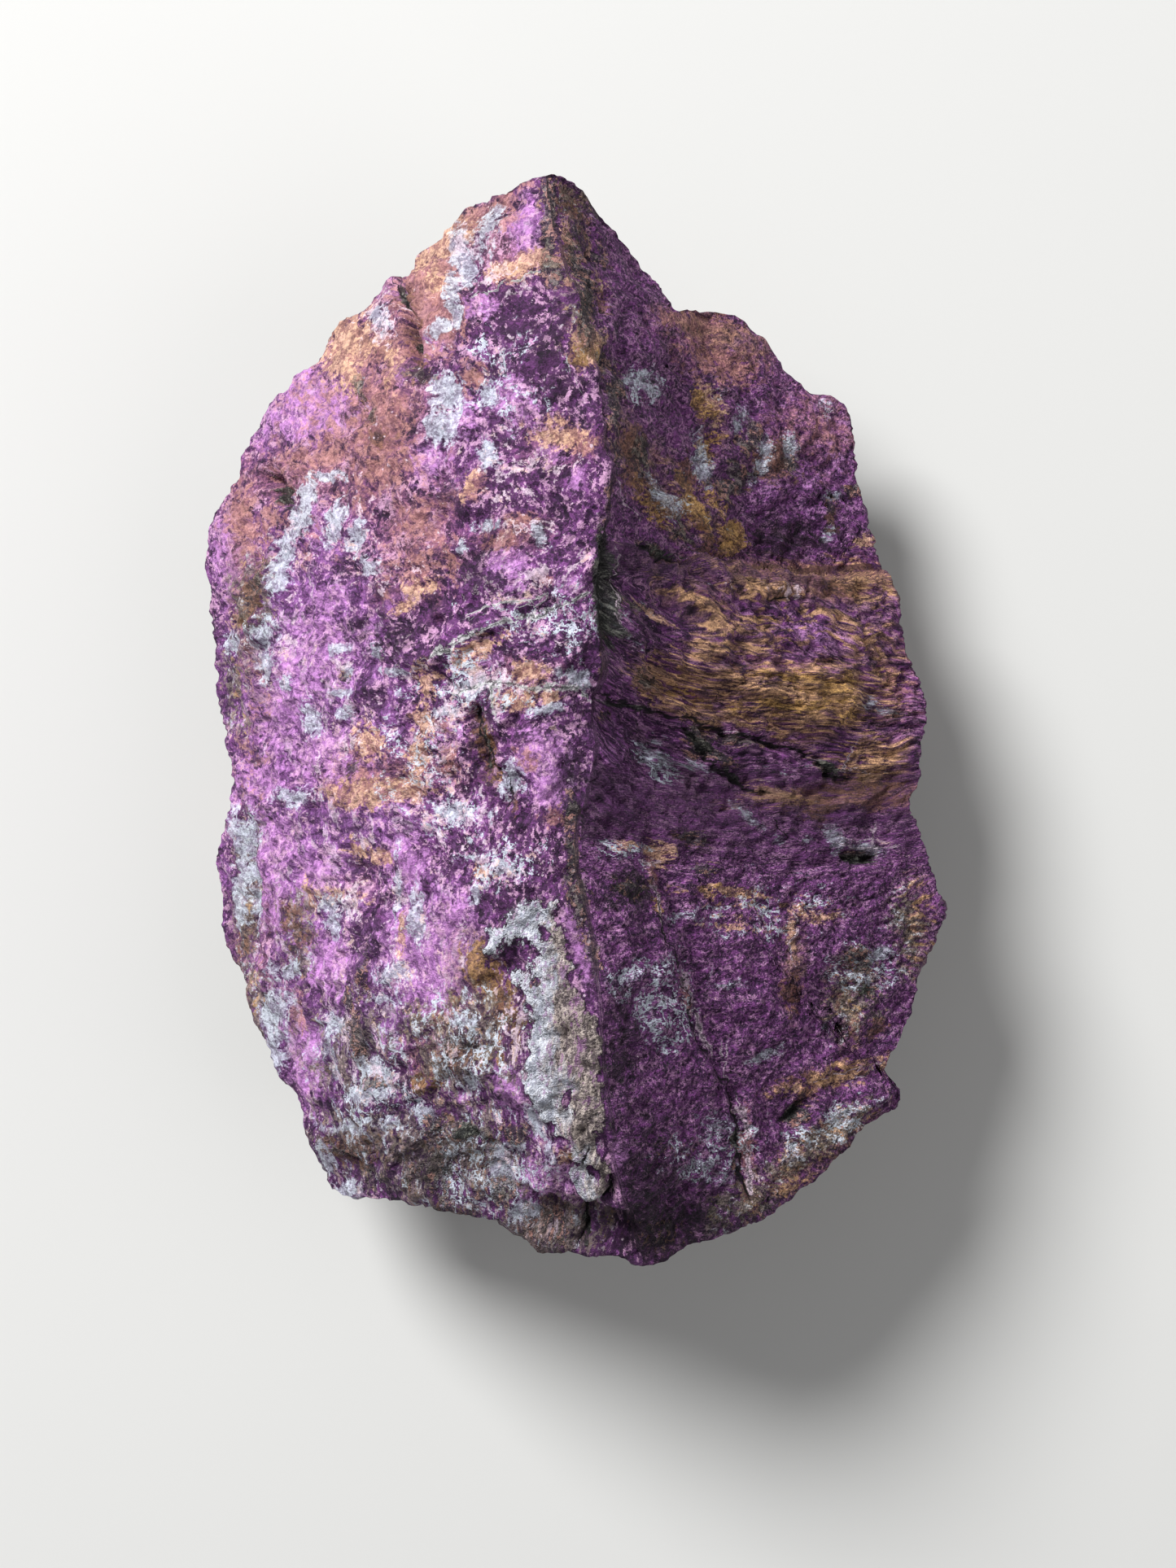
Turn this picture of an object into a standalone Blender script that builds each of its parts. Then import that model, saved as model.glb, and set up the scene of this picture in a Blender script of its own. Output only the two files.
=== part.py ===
# Purpurite hand specimen: one rough stone, lying on its back with its long ridge up.
# Metres, +Z up. The origin is under the middle of the stone, on the surface that it rests on.
# +Y runs along the ridge to the pointed end, and +X is the side with the steep flank.
#
# The stone starts as a cube that is cut into a grid and rounded into a ball. Each point of the
# ball is then carried to the stone: the top cap becomes the worked face under its outline, a band
# below it becomes the broken wall, and the bottom cap becomes the flat break that it rests on.

import math

import bmesh
import bpy
import numpy as np

MM = 0.001

# Driving dimensions
LENGTH = 58.0 * MM
WIDTH = 41.4 * MM
RIDGE_HEIGHT = 26.0 * MM

CELLS_PER_SIDE = 28  # squares along each side of the starting cube
RIM_ANGLE = math.radians(108)  # from the ball's top: where the worked face ends and the wall begins
FOOT_ANGLE = math.radians(150)  # from the ball's top: where the wall meets the resting face

# The outline seen from above, anticlockwise from the right-hand side: (x, y) in millimetres.
OUTLINE = [
    (20.0, -0.5), (19.8, 3.0), (18.9, 5.0), (17.9, 8.5), (16.8, 11.5), (16.1, 15.5), (15.3, 18.2),
    (13.3, 19.3), (11.2, 21.6), (10.1, 22.9), (8.0, 23.6), (6.1, 23.2), (4.6, 25.3), (2.6, 27.4),
    (1.0, 29.1), (-1.2, 29.6), (-3.2, 29.2), (-5.7, 28.0), (-7.2, 26.7), (-8.4, 25.5), (-10.5, 24.5),
    (-12.6, 22.9), (-14.3, 20.7), (-15.5, 20.0), (-17.3, 18.0), (-18.9, 14.8), (-20.4, 12.2),
    (-20.8, 7.0), (-20.7, 1.6), (-19.8, -2.0), (-20.0, -4.8), (-20.5, -8.0), (-20.1, -11.3),
    (-18.2, -14.8), (-16.3, -18.8), (-14.9, -22.7), (-13.6, -25.6), (-12.3, -26.4), (-10.1, -25.9),
    (-8.0, -25.5), (-5.2, -26.0), (-3.7, -26.2), (-1.6, -28.0), (0.3, -28.1), (1.8, -28.4),
    (3.9, -28.8), (6.2, -27.8), (10.4, -26.2), (13.5, -24.7), (15.3, -22.7), (17.6, -21.1),
    (18.3, -20.2), (17.5, -18.5), (18.7, -16.3), (19.3, -13.0), (20.6, -10.2), (20.4, -8.4),
    (19.3, -4.3),
]
POINTED_END = (-1.2, 29.6)
BROKEN_END = (3.9, -28.8)

# The outline of the flat break underneath, in the same order: (x, y) in millimetres.
RESTING_OUTLINE = [
    (15.4, -5.0), (14.0, 0.0), (14.6, 5.0), (12.6, 12.0), (8.0, 16.0), (4.0, 20.0), (-1.0, 21.0),
    (-6.0, 21.2), (-10.0, 17.6), (-13.6, 15.6), (-16.0, 9.0), (-15.6, 3.0), (-17.0, -2.0), (-15.0, -9.0),
    (-14.4, -13.0), (-9.5, -19.0), (-4.0, -20.2), (1.0, -22.4), (6.0, -20.4), (11.0, -19.0), (13.0, -13.0),
]

# Lines along the worked face, from the pointed end down: (y, x, height) in millimetres.
RIDGE = [
    (29.0, -1.3, 21.6), (25.0, -0.4, 23.3), (20.5, 1.2, 24.9), (16.5, 1.9, 25.8), (12.0, 2.2, 26.0),
    (5.5, 1.6, 26.0), (1.0, 1.6, 25.6), (-1.5, 1.3, 25.2), (-4.5, 0.4, 24.8), (-7.0, 0.4, 24.7),
    (-11.0, 1.3, 24.7), (-15.0, 1.7, 24.6), (-19.5, 2.0, 24.0), (-22.5, 2.3, 23.0), (-25.0, 3.0, 21.0),
    (-28.5, 3.9, 18.0),
]
LEFT_BEND = [
    (29.0, -3.0, 19.6), (25.0, -4.4, 21.0), (16.0, -6.7, 23.2), (8.0, -7.4, 23.8), (0.0, -7.8, 23.2),
    (-8.0, -8.0, 22.4), (-16.0, -8.4, 21.4), (-22.0, -8.6, 19.0), (-26.0, -7.0, 15.6), (-29.0, -2.5, 16.0),
]
LEFT_SHOULDER = [
    (29.0, -5.0, 16.8), (25.0, -8.4, 17.0), (20.0, -11.6, 16.6), (14.5, -13.8, 16.8), (8.0, -15.4, 16.6),
    (0.0, -15.6, 16.2), (-9.0, -15.2, 15.6), (-15.0, -14.0, 15.4), (-20.0, -12.6, 14.6), (-24.0, -11.4, 13.0),
    (-26.5, -9.6, 13.4), (-29.0, -5.0, 14.0),
]
LEFT_EDGE = [
    (29.0, -7.0, 14.4), (24.5, -10.8, 12.4), (20.0, -15.6, 9.6), (14.6, -19.0, 8.4), (8.0, -20.8, 7.6),
    (0.0, -20.3, 7.2), (-9.0, -20.0, 7.2), (-15.0, -18.3, 8.0), (-19.0, -16.4, 8.6), (-23.0, -15.0, 9.0),
    (-26.5, -12.4, 10.0), (-29.0, -9.0, 11.0),
]
FLANK_EDGE = [
    (29.0, 1.6, 18.2), (26.0, 2.8, 17.6), (23.5, 4.2, 17.4), (20.0, 5.2, 17.4), (16.0, 5.8, 17.2),
    (12.0, 6.0, 17.6), (9.6, 5.8, 18.3), (8.3, 5.0, 20.2), (5.0, 4.8, 20.6), (1.0, 4.5, 21.4),
    (-3.0, 4.0, 21.6), (-7.0, 3.8, 21.8), (-15.0, 4.6, 21.6), (-19.5, 5.0, 20.8), (-22.5, 5.2, 20.0),
    (-25.0, 5.6, 18.4), (-29.0, 6.2, 16.2),
]
FLANK_FOOT = [
    (29.0, 3.4, 14.0), (25.0, 5.2, 12.4), (21.5, 8.6, 11.4), (16.0, 10.0, 11.2), (12.0, 10.5, 11.2),
    (9.8, 10.6, 11.4), (8.5, 8.6, 16.4), (5.0, 7.0, 18.2), (-3.0, 6.4, 19.6), (-15.0, 7.4, 19.6),
    (-22.5, 7.8, 18.0), (-29.0, 8.4, 15.8),
]
RIGHT_EDGE = [
    (29.0, 8.0, 9.0), (24.0, 10.5, 9.0), (21.4, 12.5, 8.4), (17.2, 15.8, 7.8), (11.7, 16.8, 7.8),
    (9.8, 17.4, 8.3), (8.6, 17.9, 10.2), (5.0, 18.6, 10.8), (0.0, 19.5, 11.0), (-8.5, 20.3, 12.0),
    (-17.0, 18.0, 13.0), (-22.0, 16.4, 13.2), (-26.5, 12.0, 14.0), (-29.0, 11.0, 14.5),
]
LEDGE_TILT = -0.05  # the ledge under the right shoulder falls this much to the right
LEDGE_ORIGIN = 7.0 * MM

RIDGE_ROUNDING = 0.4 * MM
BEND_ROUNDING = 3.0 * MM
HOLLOW_ROUNDING = 1.5 * MM

# Cracks, pits and raised plates: centre (x, y), half sizes along and across, turn in degrees, height.
RELIEF = [
    {"name": "gash under the fibres", "at": (8.6, 1.3), "half": (5.4, 1.2), "turn": -24, "height": -1.2},
    {"name": "step below the gash", "at": (12.0, -1.8), "half": (8.0, 2.6), "turn": -20, "height": -0.8},
    {"name": "crease down from the ridge", "at": (5.2, -1.6), "half": (6.4, 1.3), "turn": -38, "height": -0.9},
    {"name": "pit near the right edge", "at": (16.0, -6.6), "half": (1.7, 1.1), "turn": 0, "height": -1.1},
    {"name": "fissure across the right face", "at": (6.8, -12.6), "half": (8.5, 0.9), "turn": -72, "height": -0.7},
    {"name": "pit low on the right face", "at": (12.8, -20.0), "half": (1.3, 1.0), "turn": 30, "height": -0.8},
    {"name": "knob at the right corner", "at": (17.2, -20.2), "half": (1.8, 1.2), "turn": 20, "height": 0.9},
    {"name": "crust plate on the ridge", "at": (-0.6, -17.0), "half": (2.9, 7.5), "turn": 4, "height": 0.7},
    {"name": "step below the crust", "at": (0.8, -26.3), "half": (3.2, 2.4), "turn": -20, "height": -1.6},
    {"name": "slot in the ridge", "at": (1.6, 7.9), "half": (0.7, 2.2), "turn": 5, "height": -1.0},
    {"name": "splinter slot", "at": (-5.0, 1.8), "half": (0.7, 2.4), "turn": 12, "height": -1.0},
    {"name": "vein across the left face", "at": (-4.2, 5.6), "half": (6.8, 0.9), "turn": 27, "height": 0.6},
    {"name": "dark hollow low on the left", "at": (-5.4, -22.0), "half": (3.2, 2.6), "turn": 10, "height": -0.7},
    {"name": "notch in the upper left edge", "at": (-8.9, 22.6), "half": (0.8, 2.4), "turn": 12, "height": -1.2},
    {"name": "brown block", "at": (-7.2, 22.9), "half": (1.6, 2.2), "turn": 0, "height": 0.6},
    {"name": "slot near the left edge", "at": (-16.6, 14.2), "half": (1.0, 1.5), "turn": 15, "height": -1.1},
]

# The grain: long low splinters, upright on the left face and fanned out from the ridge on the right.
GRAIN_ACROSS = 2.6 * MM
GRAIN_ALONG = 9.0 * MM
GRAIN_HEIGHT = 0.5 * MM
GRAIN_FAN = 0.3  # on the right face the splinters fall this much for each step away from the ridge
GRAIN_BLEND = 3.0 * MM

# Lumps all over, as (size across, height).
LUMPS = [(9.0 * MM, 0.5 * MM), (3.8 * MM, 0.4 * MM), (1.9 * MM, 0.22 * MM)]
LUMP_SEED = 11
WALL_LUMP_GAIN = 1.6  # the broken wall is this much rougher again than the worked face
WALL_INSET = 0.7 * MM  # keeps the rough wall inside the outline
FLAT_MARGIN = 2.0 * MM  # lumps fade out below this height, so that the resting face stays flat
WALL_BOW = 1.7  # the wall stays steep under the edge and turns in towards its foot

STONE_COLOUR = (0.17, 0.05, 0.24, 1.0)
STONE_ROUGHNESS = 0.82


def smoothstep(t):
    t = np.clip(t, 0.0, 1.0)
    return t * t * (3.0 - 2.0 * t)


def along(line, y):
    """x and height of a line at each y, in metres."""
    table = np.array(line[::-1]) * MM
    return np.interp(y, table[:, 0], table[:, 1]), np.interp(y, table[:, 0], table[:, 2])


def lattice(ix, iy, iz, seed):
    """A repeatable number from -1 to 1 for each cell corner."""
    n = (ix * 374761393 + iy * 668265263 + iz * 1440662683 + seed * 362437) & 0xFFFFFFFF
    n = ((n ^ (n >> 13)) * 1274126177) & 0xFFFFFFFF
    return ((n ^ (n >> 16)) & 0xFFFF) / 32767.5 - 1.0


def lumpiness(points, size, seed):
    """Smooth lumps from -1 to 1, about size across."""
    p = points / size
    cell = np.floor(p).astype(np.int64)
    f = p - cell
    f = f * f * (3.0 - 2.0 * f)
    total = np.zeros(len(points))
    for corner in range(8):
        step = np.array([corner & 1, corner >> 1 & 1, corner >> 2 & 1])
        weight = np.prod(np.where(step == 1, f, 1.0 - f), axis=1)
        total += weight * lattice(*(cell + step).T, seed)
    return total


def placed_relief(x, y):
    """The height that the cracks, pits and plates add at each point."""
    height = np.zeros_like(x)
    for feature in RELIEF:
        turn = math.radians(feature["turn"])
        dx = x - feature["at"][0] * MM
        dy = y - feature["at"][1] * MM
        a = (dx * math.cos(turn) + dy * math.sin(turn)) / (feature["half"][0] * MM)
        b = (dy * math.cos(turn) - dx * math.sin(turn)) / (feature["half"][1] * MM)
        height += feature["height"] * MM * (1.0 - smoothstep(np.hypot(a, b) - 0.5))
    return height


def creased(points, seed):
    """Lumps with sharp valleys between them, from 0 in a valley to 1."""
    return np.abs(lumpiness(points, 1.0, seed)) ** 0.7


def grain(x, y):
    """Height of the splinters that run along the stone's fibres."""
    beyond_ridge = x - along(RIDGE, y)[0]
    fanned = y + GRAIN_FAN * np.maximum(beyond_ridge, 0.0)
    layer = np.zeros_like(x)
    left = creased(np.stack([x / GRAIN_ACROSS, y / GRAIN_ALONG, layer], axis=1), LUMP_SEED + 20)
    right = creased(np.stack([x / GRAIN_ALONG, fanned / GRAIN_ACROSS, layer], axis=1), LUMP_SEED + 30)
    share = smoothstep(0.5 + beyond_ridge / GRAIN_BLEND)
    return GRAIN_HEIGHT * (left + (right - left) * share)


def corner(x, at, rounding):
    """Nothing on one side of a corner, and the distance past it on the other, with a soft start."""
    return 0.5 * (x - at + np.sqrt((x - at) ** 2 + rounding**2))


def face_height(x, y):
    """Height of the worked face: a chain of straight slopes across the stone, bent at each line."""
    ledge_y = y - LEDGE_TILT * (x - LEDGE_ORIGIN)
    stations = [along(line, y) for line in (LEFT_EDGE, LEFT_SHOULDER, LEFT_BEND, RIDGE)]
    stations += [along(line, ledge_y) for line in (FLANK_EDGE, FLANK_FOOT, RIGHT_EDGE)]
    slopes = [(b[1] - a[1]) / (b[0] - a[0]) for a, b in zip(stations, stations[1:])]
    rounding = [BEND_ROUNDING, BEND_ROUNDING, RIDGE_ROUNDING, HOLLOW_ROUNDING, HOLLOW_ROUNDING]

    height = stations[0][1] + slopes[0] * (x - stations[0][0])
    for i, width in enumerate(rounding):
        height += (slopes[i + 1] - slopes[i]) * corner(x, stations[i + 1][0], width)
    return height + placed_relief(x, y) + grain(x, y)


def radius_at(angle, points):
    """Distance from the centre to a closed outline, at each polar angle."""
    table = np.array(points) * MM
    bearing = np.arctan2(table[:, 1], table[:, 0])
    distance = np.hypot(table[:, 0], table[:, 1])
    return np.interp(angle, *sorted_by_bearing(bearing, distance), period=2.0 * math.pi)


def sorted_by_bearing(bearing, distance):
    order = np.argsort(bearing)
    return bearing[order], distance[order]


def lined_up(angle):
    """Turns the ball's poles of the grid to the two ends of the ridge."""
    quarter = math.pi / 2
    tip = math.atan2(POINTED_END[1], POINTED_END[0])
    tail = math.atan2(BROKEN_END[1], BROKEN_END[0])
    return np.interp(angle, [-2 * quarter, -quarter, 0.0, quarter, 2 * quarter], [-math.pi, tail, 0.0, tip, math.pi])


def carried_to_stone(direction):
    """The stone's point for each direction of the ball."""
    down = np.arccos(np.clip(direction[:, 2], -1.0, 1.0))
    angle = lined_up(np.arctan2(direction[:, 1], direction[:, 0]))
    reach = radius_at(angle, OUTLINE)
    foot_reach = radius_at(angle, RESTING_OUTLINE)

    on_face = np.clip(np.sin(down / 2) / math.sin(RIM_ANGLE / 2), 0.0, 1.0)
    on_face[down >= RIM_ANGLE] = 1.0
    down_wall = np.clip((down - RIM_ANGLE) / (FOOT_ANGLE - RIM_ANGLE), 0.0, 1.0)
    under = np.clip(np.cos(down / 2) / math.cos(FOOT_ANGLE / 2), 0.0, 1.0)

    x = on_face * reach * np.cos(angle)
    y = on_face * reach * np.sin(angle)
    ends = np.array([BROKEN_END, (0.0, 0.0), POINTED_END]) * MM
    straight = np.interp(y, ends[:, 1], ends[:, 0])
    x += (along(RIDGE, y)[0] - straight) * (1.0 - on_face**4)
    height = face_height(x, y)

    wall_reach = reach + (foot_reach - reach) * down_wall**WALL_BOW
    shrink = np.where(down > RIM_ANGLE, wall_reach / reach, 1.0)
    shrink = np.where(down > FOOT_ANGLE, under * foot_reach / reach, shrink)
    height = np.where(down > RIM_ANGLE, height * (1.0 - down_wall), height)
    return np.stack([x * shrink, y * shrink, height], axis=1)


def rounded_cube_mesh():
    """A cube cut into a grid, with its points spread evenly over a ball."""
    shape = bmesh.new()
    bmesh.ops.create_cube(shape, size=2.0)
    bmesh.ops.subdivide_edges(shape, edges=shape.edges[:], cuts=CELLS_PER_SIDE - 1, use_grid_fill=True)
    mesh = bpy.data.meshes.new("purpurite_stone")
    shape.to_mesh(mesh)
    shape.free()
    return mesh


def split_squares(mesh):
    """Cuts each square along its shorter diagonal, so that ledges keep a clean edge."""
    shape = bmesh.new()
    shape.from_mesh(mesh)
    bmesh.ops.triangulate(shape, faces=shape.faces[:], quad_method="SHORT_EDGE")
    shape.to_mesh(mesh)
    shape.free()


def read_points(mesh):
    points = np.empty(len(mesh.vertices) * 3)
    mesh.vertices.foreach_get("co", points)
    return points.reshape(-1, 3)


def read_normals(mesh):
    normals = np.empty(len(mesh.vertices) * 3)
    mesh.vertex_normals.foreach_get("vector", normals)
    return normals.reshape(-1, 3)


def write_points(mesh, points):
    mesh.vertices.foreach_set("co", points.astype(np.float32).ravel())
    mesh.update()


def add_lumps(mesh, directions):
    """Pushes the surface in and out along its normals, and leaves the resting face flat."""
    points = read_points(mesh)
    down = np.arccos(np.clip(directions[:, 2], -1.0, 1.0))
    on_wall = smoothstep((down - RIM_ANGLE) / (FOOT_ANGLE - RIM_ANGLE) * 2.5)
    push = sum(height * lumpiness(points, size, LUMP_SEED + i) for i, (size, height) in enumerate(LUMPS))
    push = push * (1.0 + WALL_LUMP_GAIN * on_wall) - WALL_INSET * on_wall
    push *= smoothstep(points[:, 2] / FLAT_MARGIN)
    points += read_normals(mesh) * push[:, None]
    points[:, 2] = np.maximum(points[:, 2], 0.0)
    write_points(mesh, points)


def fit_to_size(mesh):
    """Brings the stone to its driving dimensions, centred over the origin."""
    points = read_points(mesh)
    low, high = points.min(axis=0), points.max(axis=0)
    middle = (low + high) / 2
    middle[2] = low[2]
    points = (points - middle) * np.array([WIDTH, LENGTH, RIDGE_HEIGHT]) / (high - low)
    write_points(mesh, points)


def stone_material():
    material = bpy.data.materials.new("purple_phosphate")
    material.use_nodes = True
    shader = material.node_tree.nodes["Principled BSDF"]
    shader.inputs["Base Color"].default_value = STONE_COLOUR
    shader.inputs["Roughness"].default_value = STONE_ROUGHNESS
    shader.inputs["Metallic"].default_value = 0.0
    return material


def make_stone(collection):
    mesh = rounded_cube_mesh()
    evened = np.tan(read_points(mesh) * math.pi / 4)
    directions = evened / np.linalg.norm(evened, axis=1, keepdims=True)
    write_points(mesh, carried_to_stone(directions))
    add_lumps(mesh, directions)
    fit_to_size(mesh)
    split_squares(mesh)
    mesh.materials.append(stone_material())
    stone = bpy.data.objects.new("purpurite_stone", mesh)
    collection.objects.link(stone)
    return stone


def main():
    for old in list(bpy.data.objects):
        bpy.data.objects.remove(old)
    collection = bpy.data.collections.new("purpurite_specimen")
    bpy.context.scene.collection.children.link(collection)
    make_stone(collection)


main()
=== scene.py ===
# Purpurite hand specimen: a rough purple stone lying on its flat back, its long ridge up,
# seen from straight above. Lengths in the dictionaries are millimetres, colours are sRGB 0 to 255.

import math

import bpy
import numpy as np
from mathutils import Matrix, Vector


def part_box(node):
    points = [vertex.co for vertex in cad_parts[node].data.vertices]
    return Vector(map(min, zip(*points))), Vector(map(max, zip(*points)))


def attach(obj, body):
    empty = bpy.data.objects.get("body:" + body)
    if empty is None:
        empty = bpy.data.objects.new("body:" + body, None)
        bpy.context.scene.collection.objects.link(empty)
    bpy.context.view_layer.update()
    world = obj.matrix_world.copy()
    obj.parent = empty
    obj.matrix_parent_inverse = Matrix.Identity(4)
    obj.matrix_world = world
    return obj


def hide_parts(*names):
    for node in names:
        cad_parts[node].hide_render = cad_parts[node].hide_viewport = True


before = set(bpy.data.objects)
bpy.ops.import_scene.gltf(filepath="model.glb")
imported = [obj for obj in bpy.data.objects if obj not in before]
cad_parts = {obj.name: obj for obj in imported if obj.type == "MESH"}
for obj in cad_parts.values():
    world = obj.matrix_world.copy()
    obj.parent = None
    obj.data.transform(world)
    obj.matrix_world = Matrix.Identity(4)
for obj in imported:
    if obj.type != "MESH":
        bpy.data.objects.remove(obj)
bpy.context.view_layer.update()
mm = 0.001
print("stage: frame loaded")


# numbers that vary smoothly over space

def softStep(t):
    # 3t^2 - 2t^3, kept between 0 and 1
    t = np.clip(t, 0.0, 1.0)
    return t * t * (3.0 - 2.0 * t)


def cornerValue(ix, iy, iz, seed):
    # a repeatable number from -1 to 1 for each corner of a lattice, from a whole-number hash
    n = (ix * 374761393 + iy * 668265263 + iz * 1440662683 + seed * 362437) & 0xFFFFFFFF
    n = ((n ^ (n >> 13)) * 1274126177) & 0xFFFFFFFF
    return ((n ^ (n >> 16)) & 0xFFFF) / 32767.5 - 1.0


def lumps(points, size, seed):
    # value noise: the eight corner values round a point, weighted by s(1-f) and s(f) with s = 3f^2 - 2f^3
    p = points / size
    cell = np.floor(p).astype(np.int64)
    f = p - cell
    f = f * f * (3.0 - 2.0 * f)
    total = np.zeros(len(points))
    for corner in range(8):
        step = np.array([corner & 1, corner >> 1 & 1, corner >> 2 & 1])
        weight = np.prod(np.where(step == 1, f, 1.0 - f), axis=1)
        total += weight * cornerValue(*(cell + step).T, seed)
    return total


latticeTurn = (math.radians(37.0), math.radians(29.0))


def askewLumps(points, size, seed):
    # the same noise with its lattice turned about z and then about x, away from the stone's axes
    c, s = math.cos(latticeTurn[0]), math.sin(latticeTurn[0])
    aboutZ = np.array([[c, s, 0.0], [-s, c, 0.0], [0.0, 0.0, 1.0]])
    c, s = math.cos(latticeTurn[1]), math.sin(latticeTurn[1])
    aboutX = np.array([[1.0, 0.0, 0.0], [0.0, c, s], [0.0, -s, c]])
    return lumps(points @ aboutZ @ aboutX, size, seed)


def hackle(points, size, seed, octaves=3):
    # sharp crests with rounded hollows: sum over octaves of 0.5^k * (0.66 - 2.4 |noise|)
    total = np.zeros(len(points))
    weight = 1.0
    for k in range(octaves):
        total += weight * (0.66 - 2.4 * np.abs(askewLumps(points, size * 0.5**k, seed + 7 * k)))
        weight *= 0.5
    return total / 1.3


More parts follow.
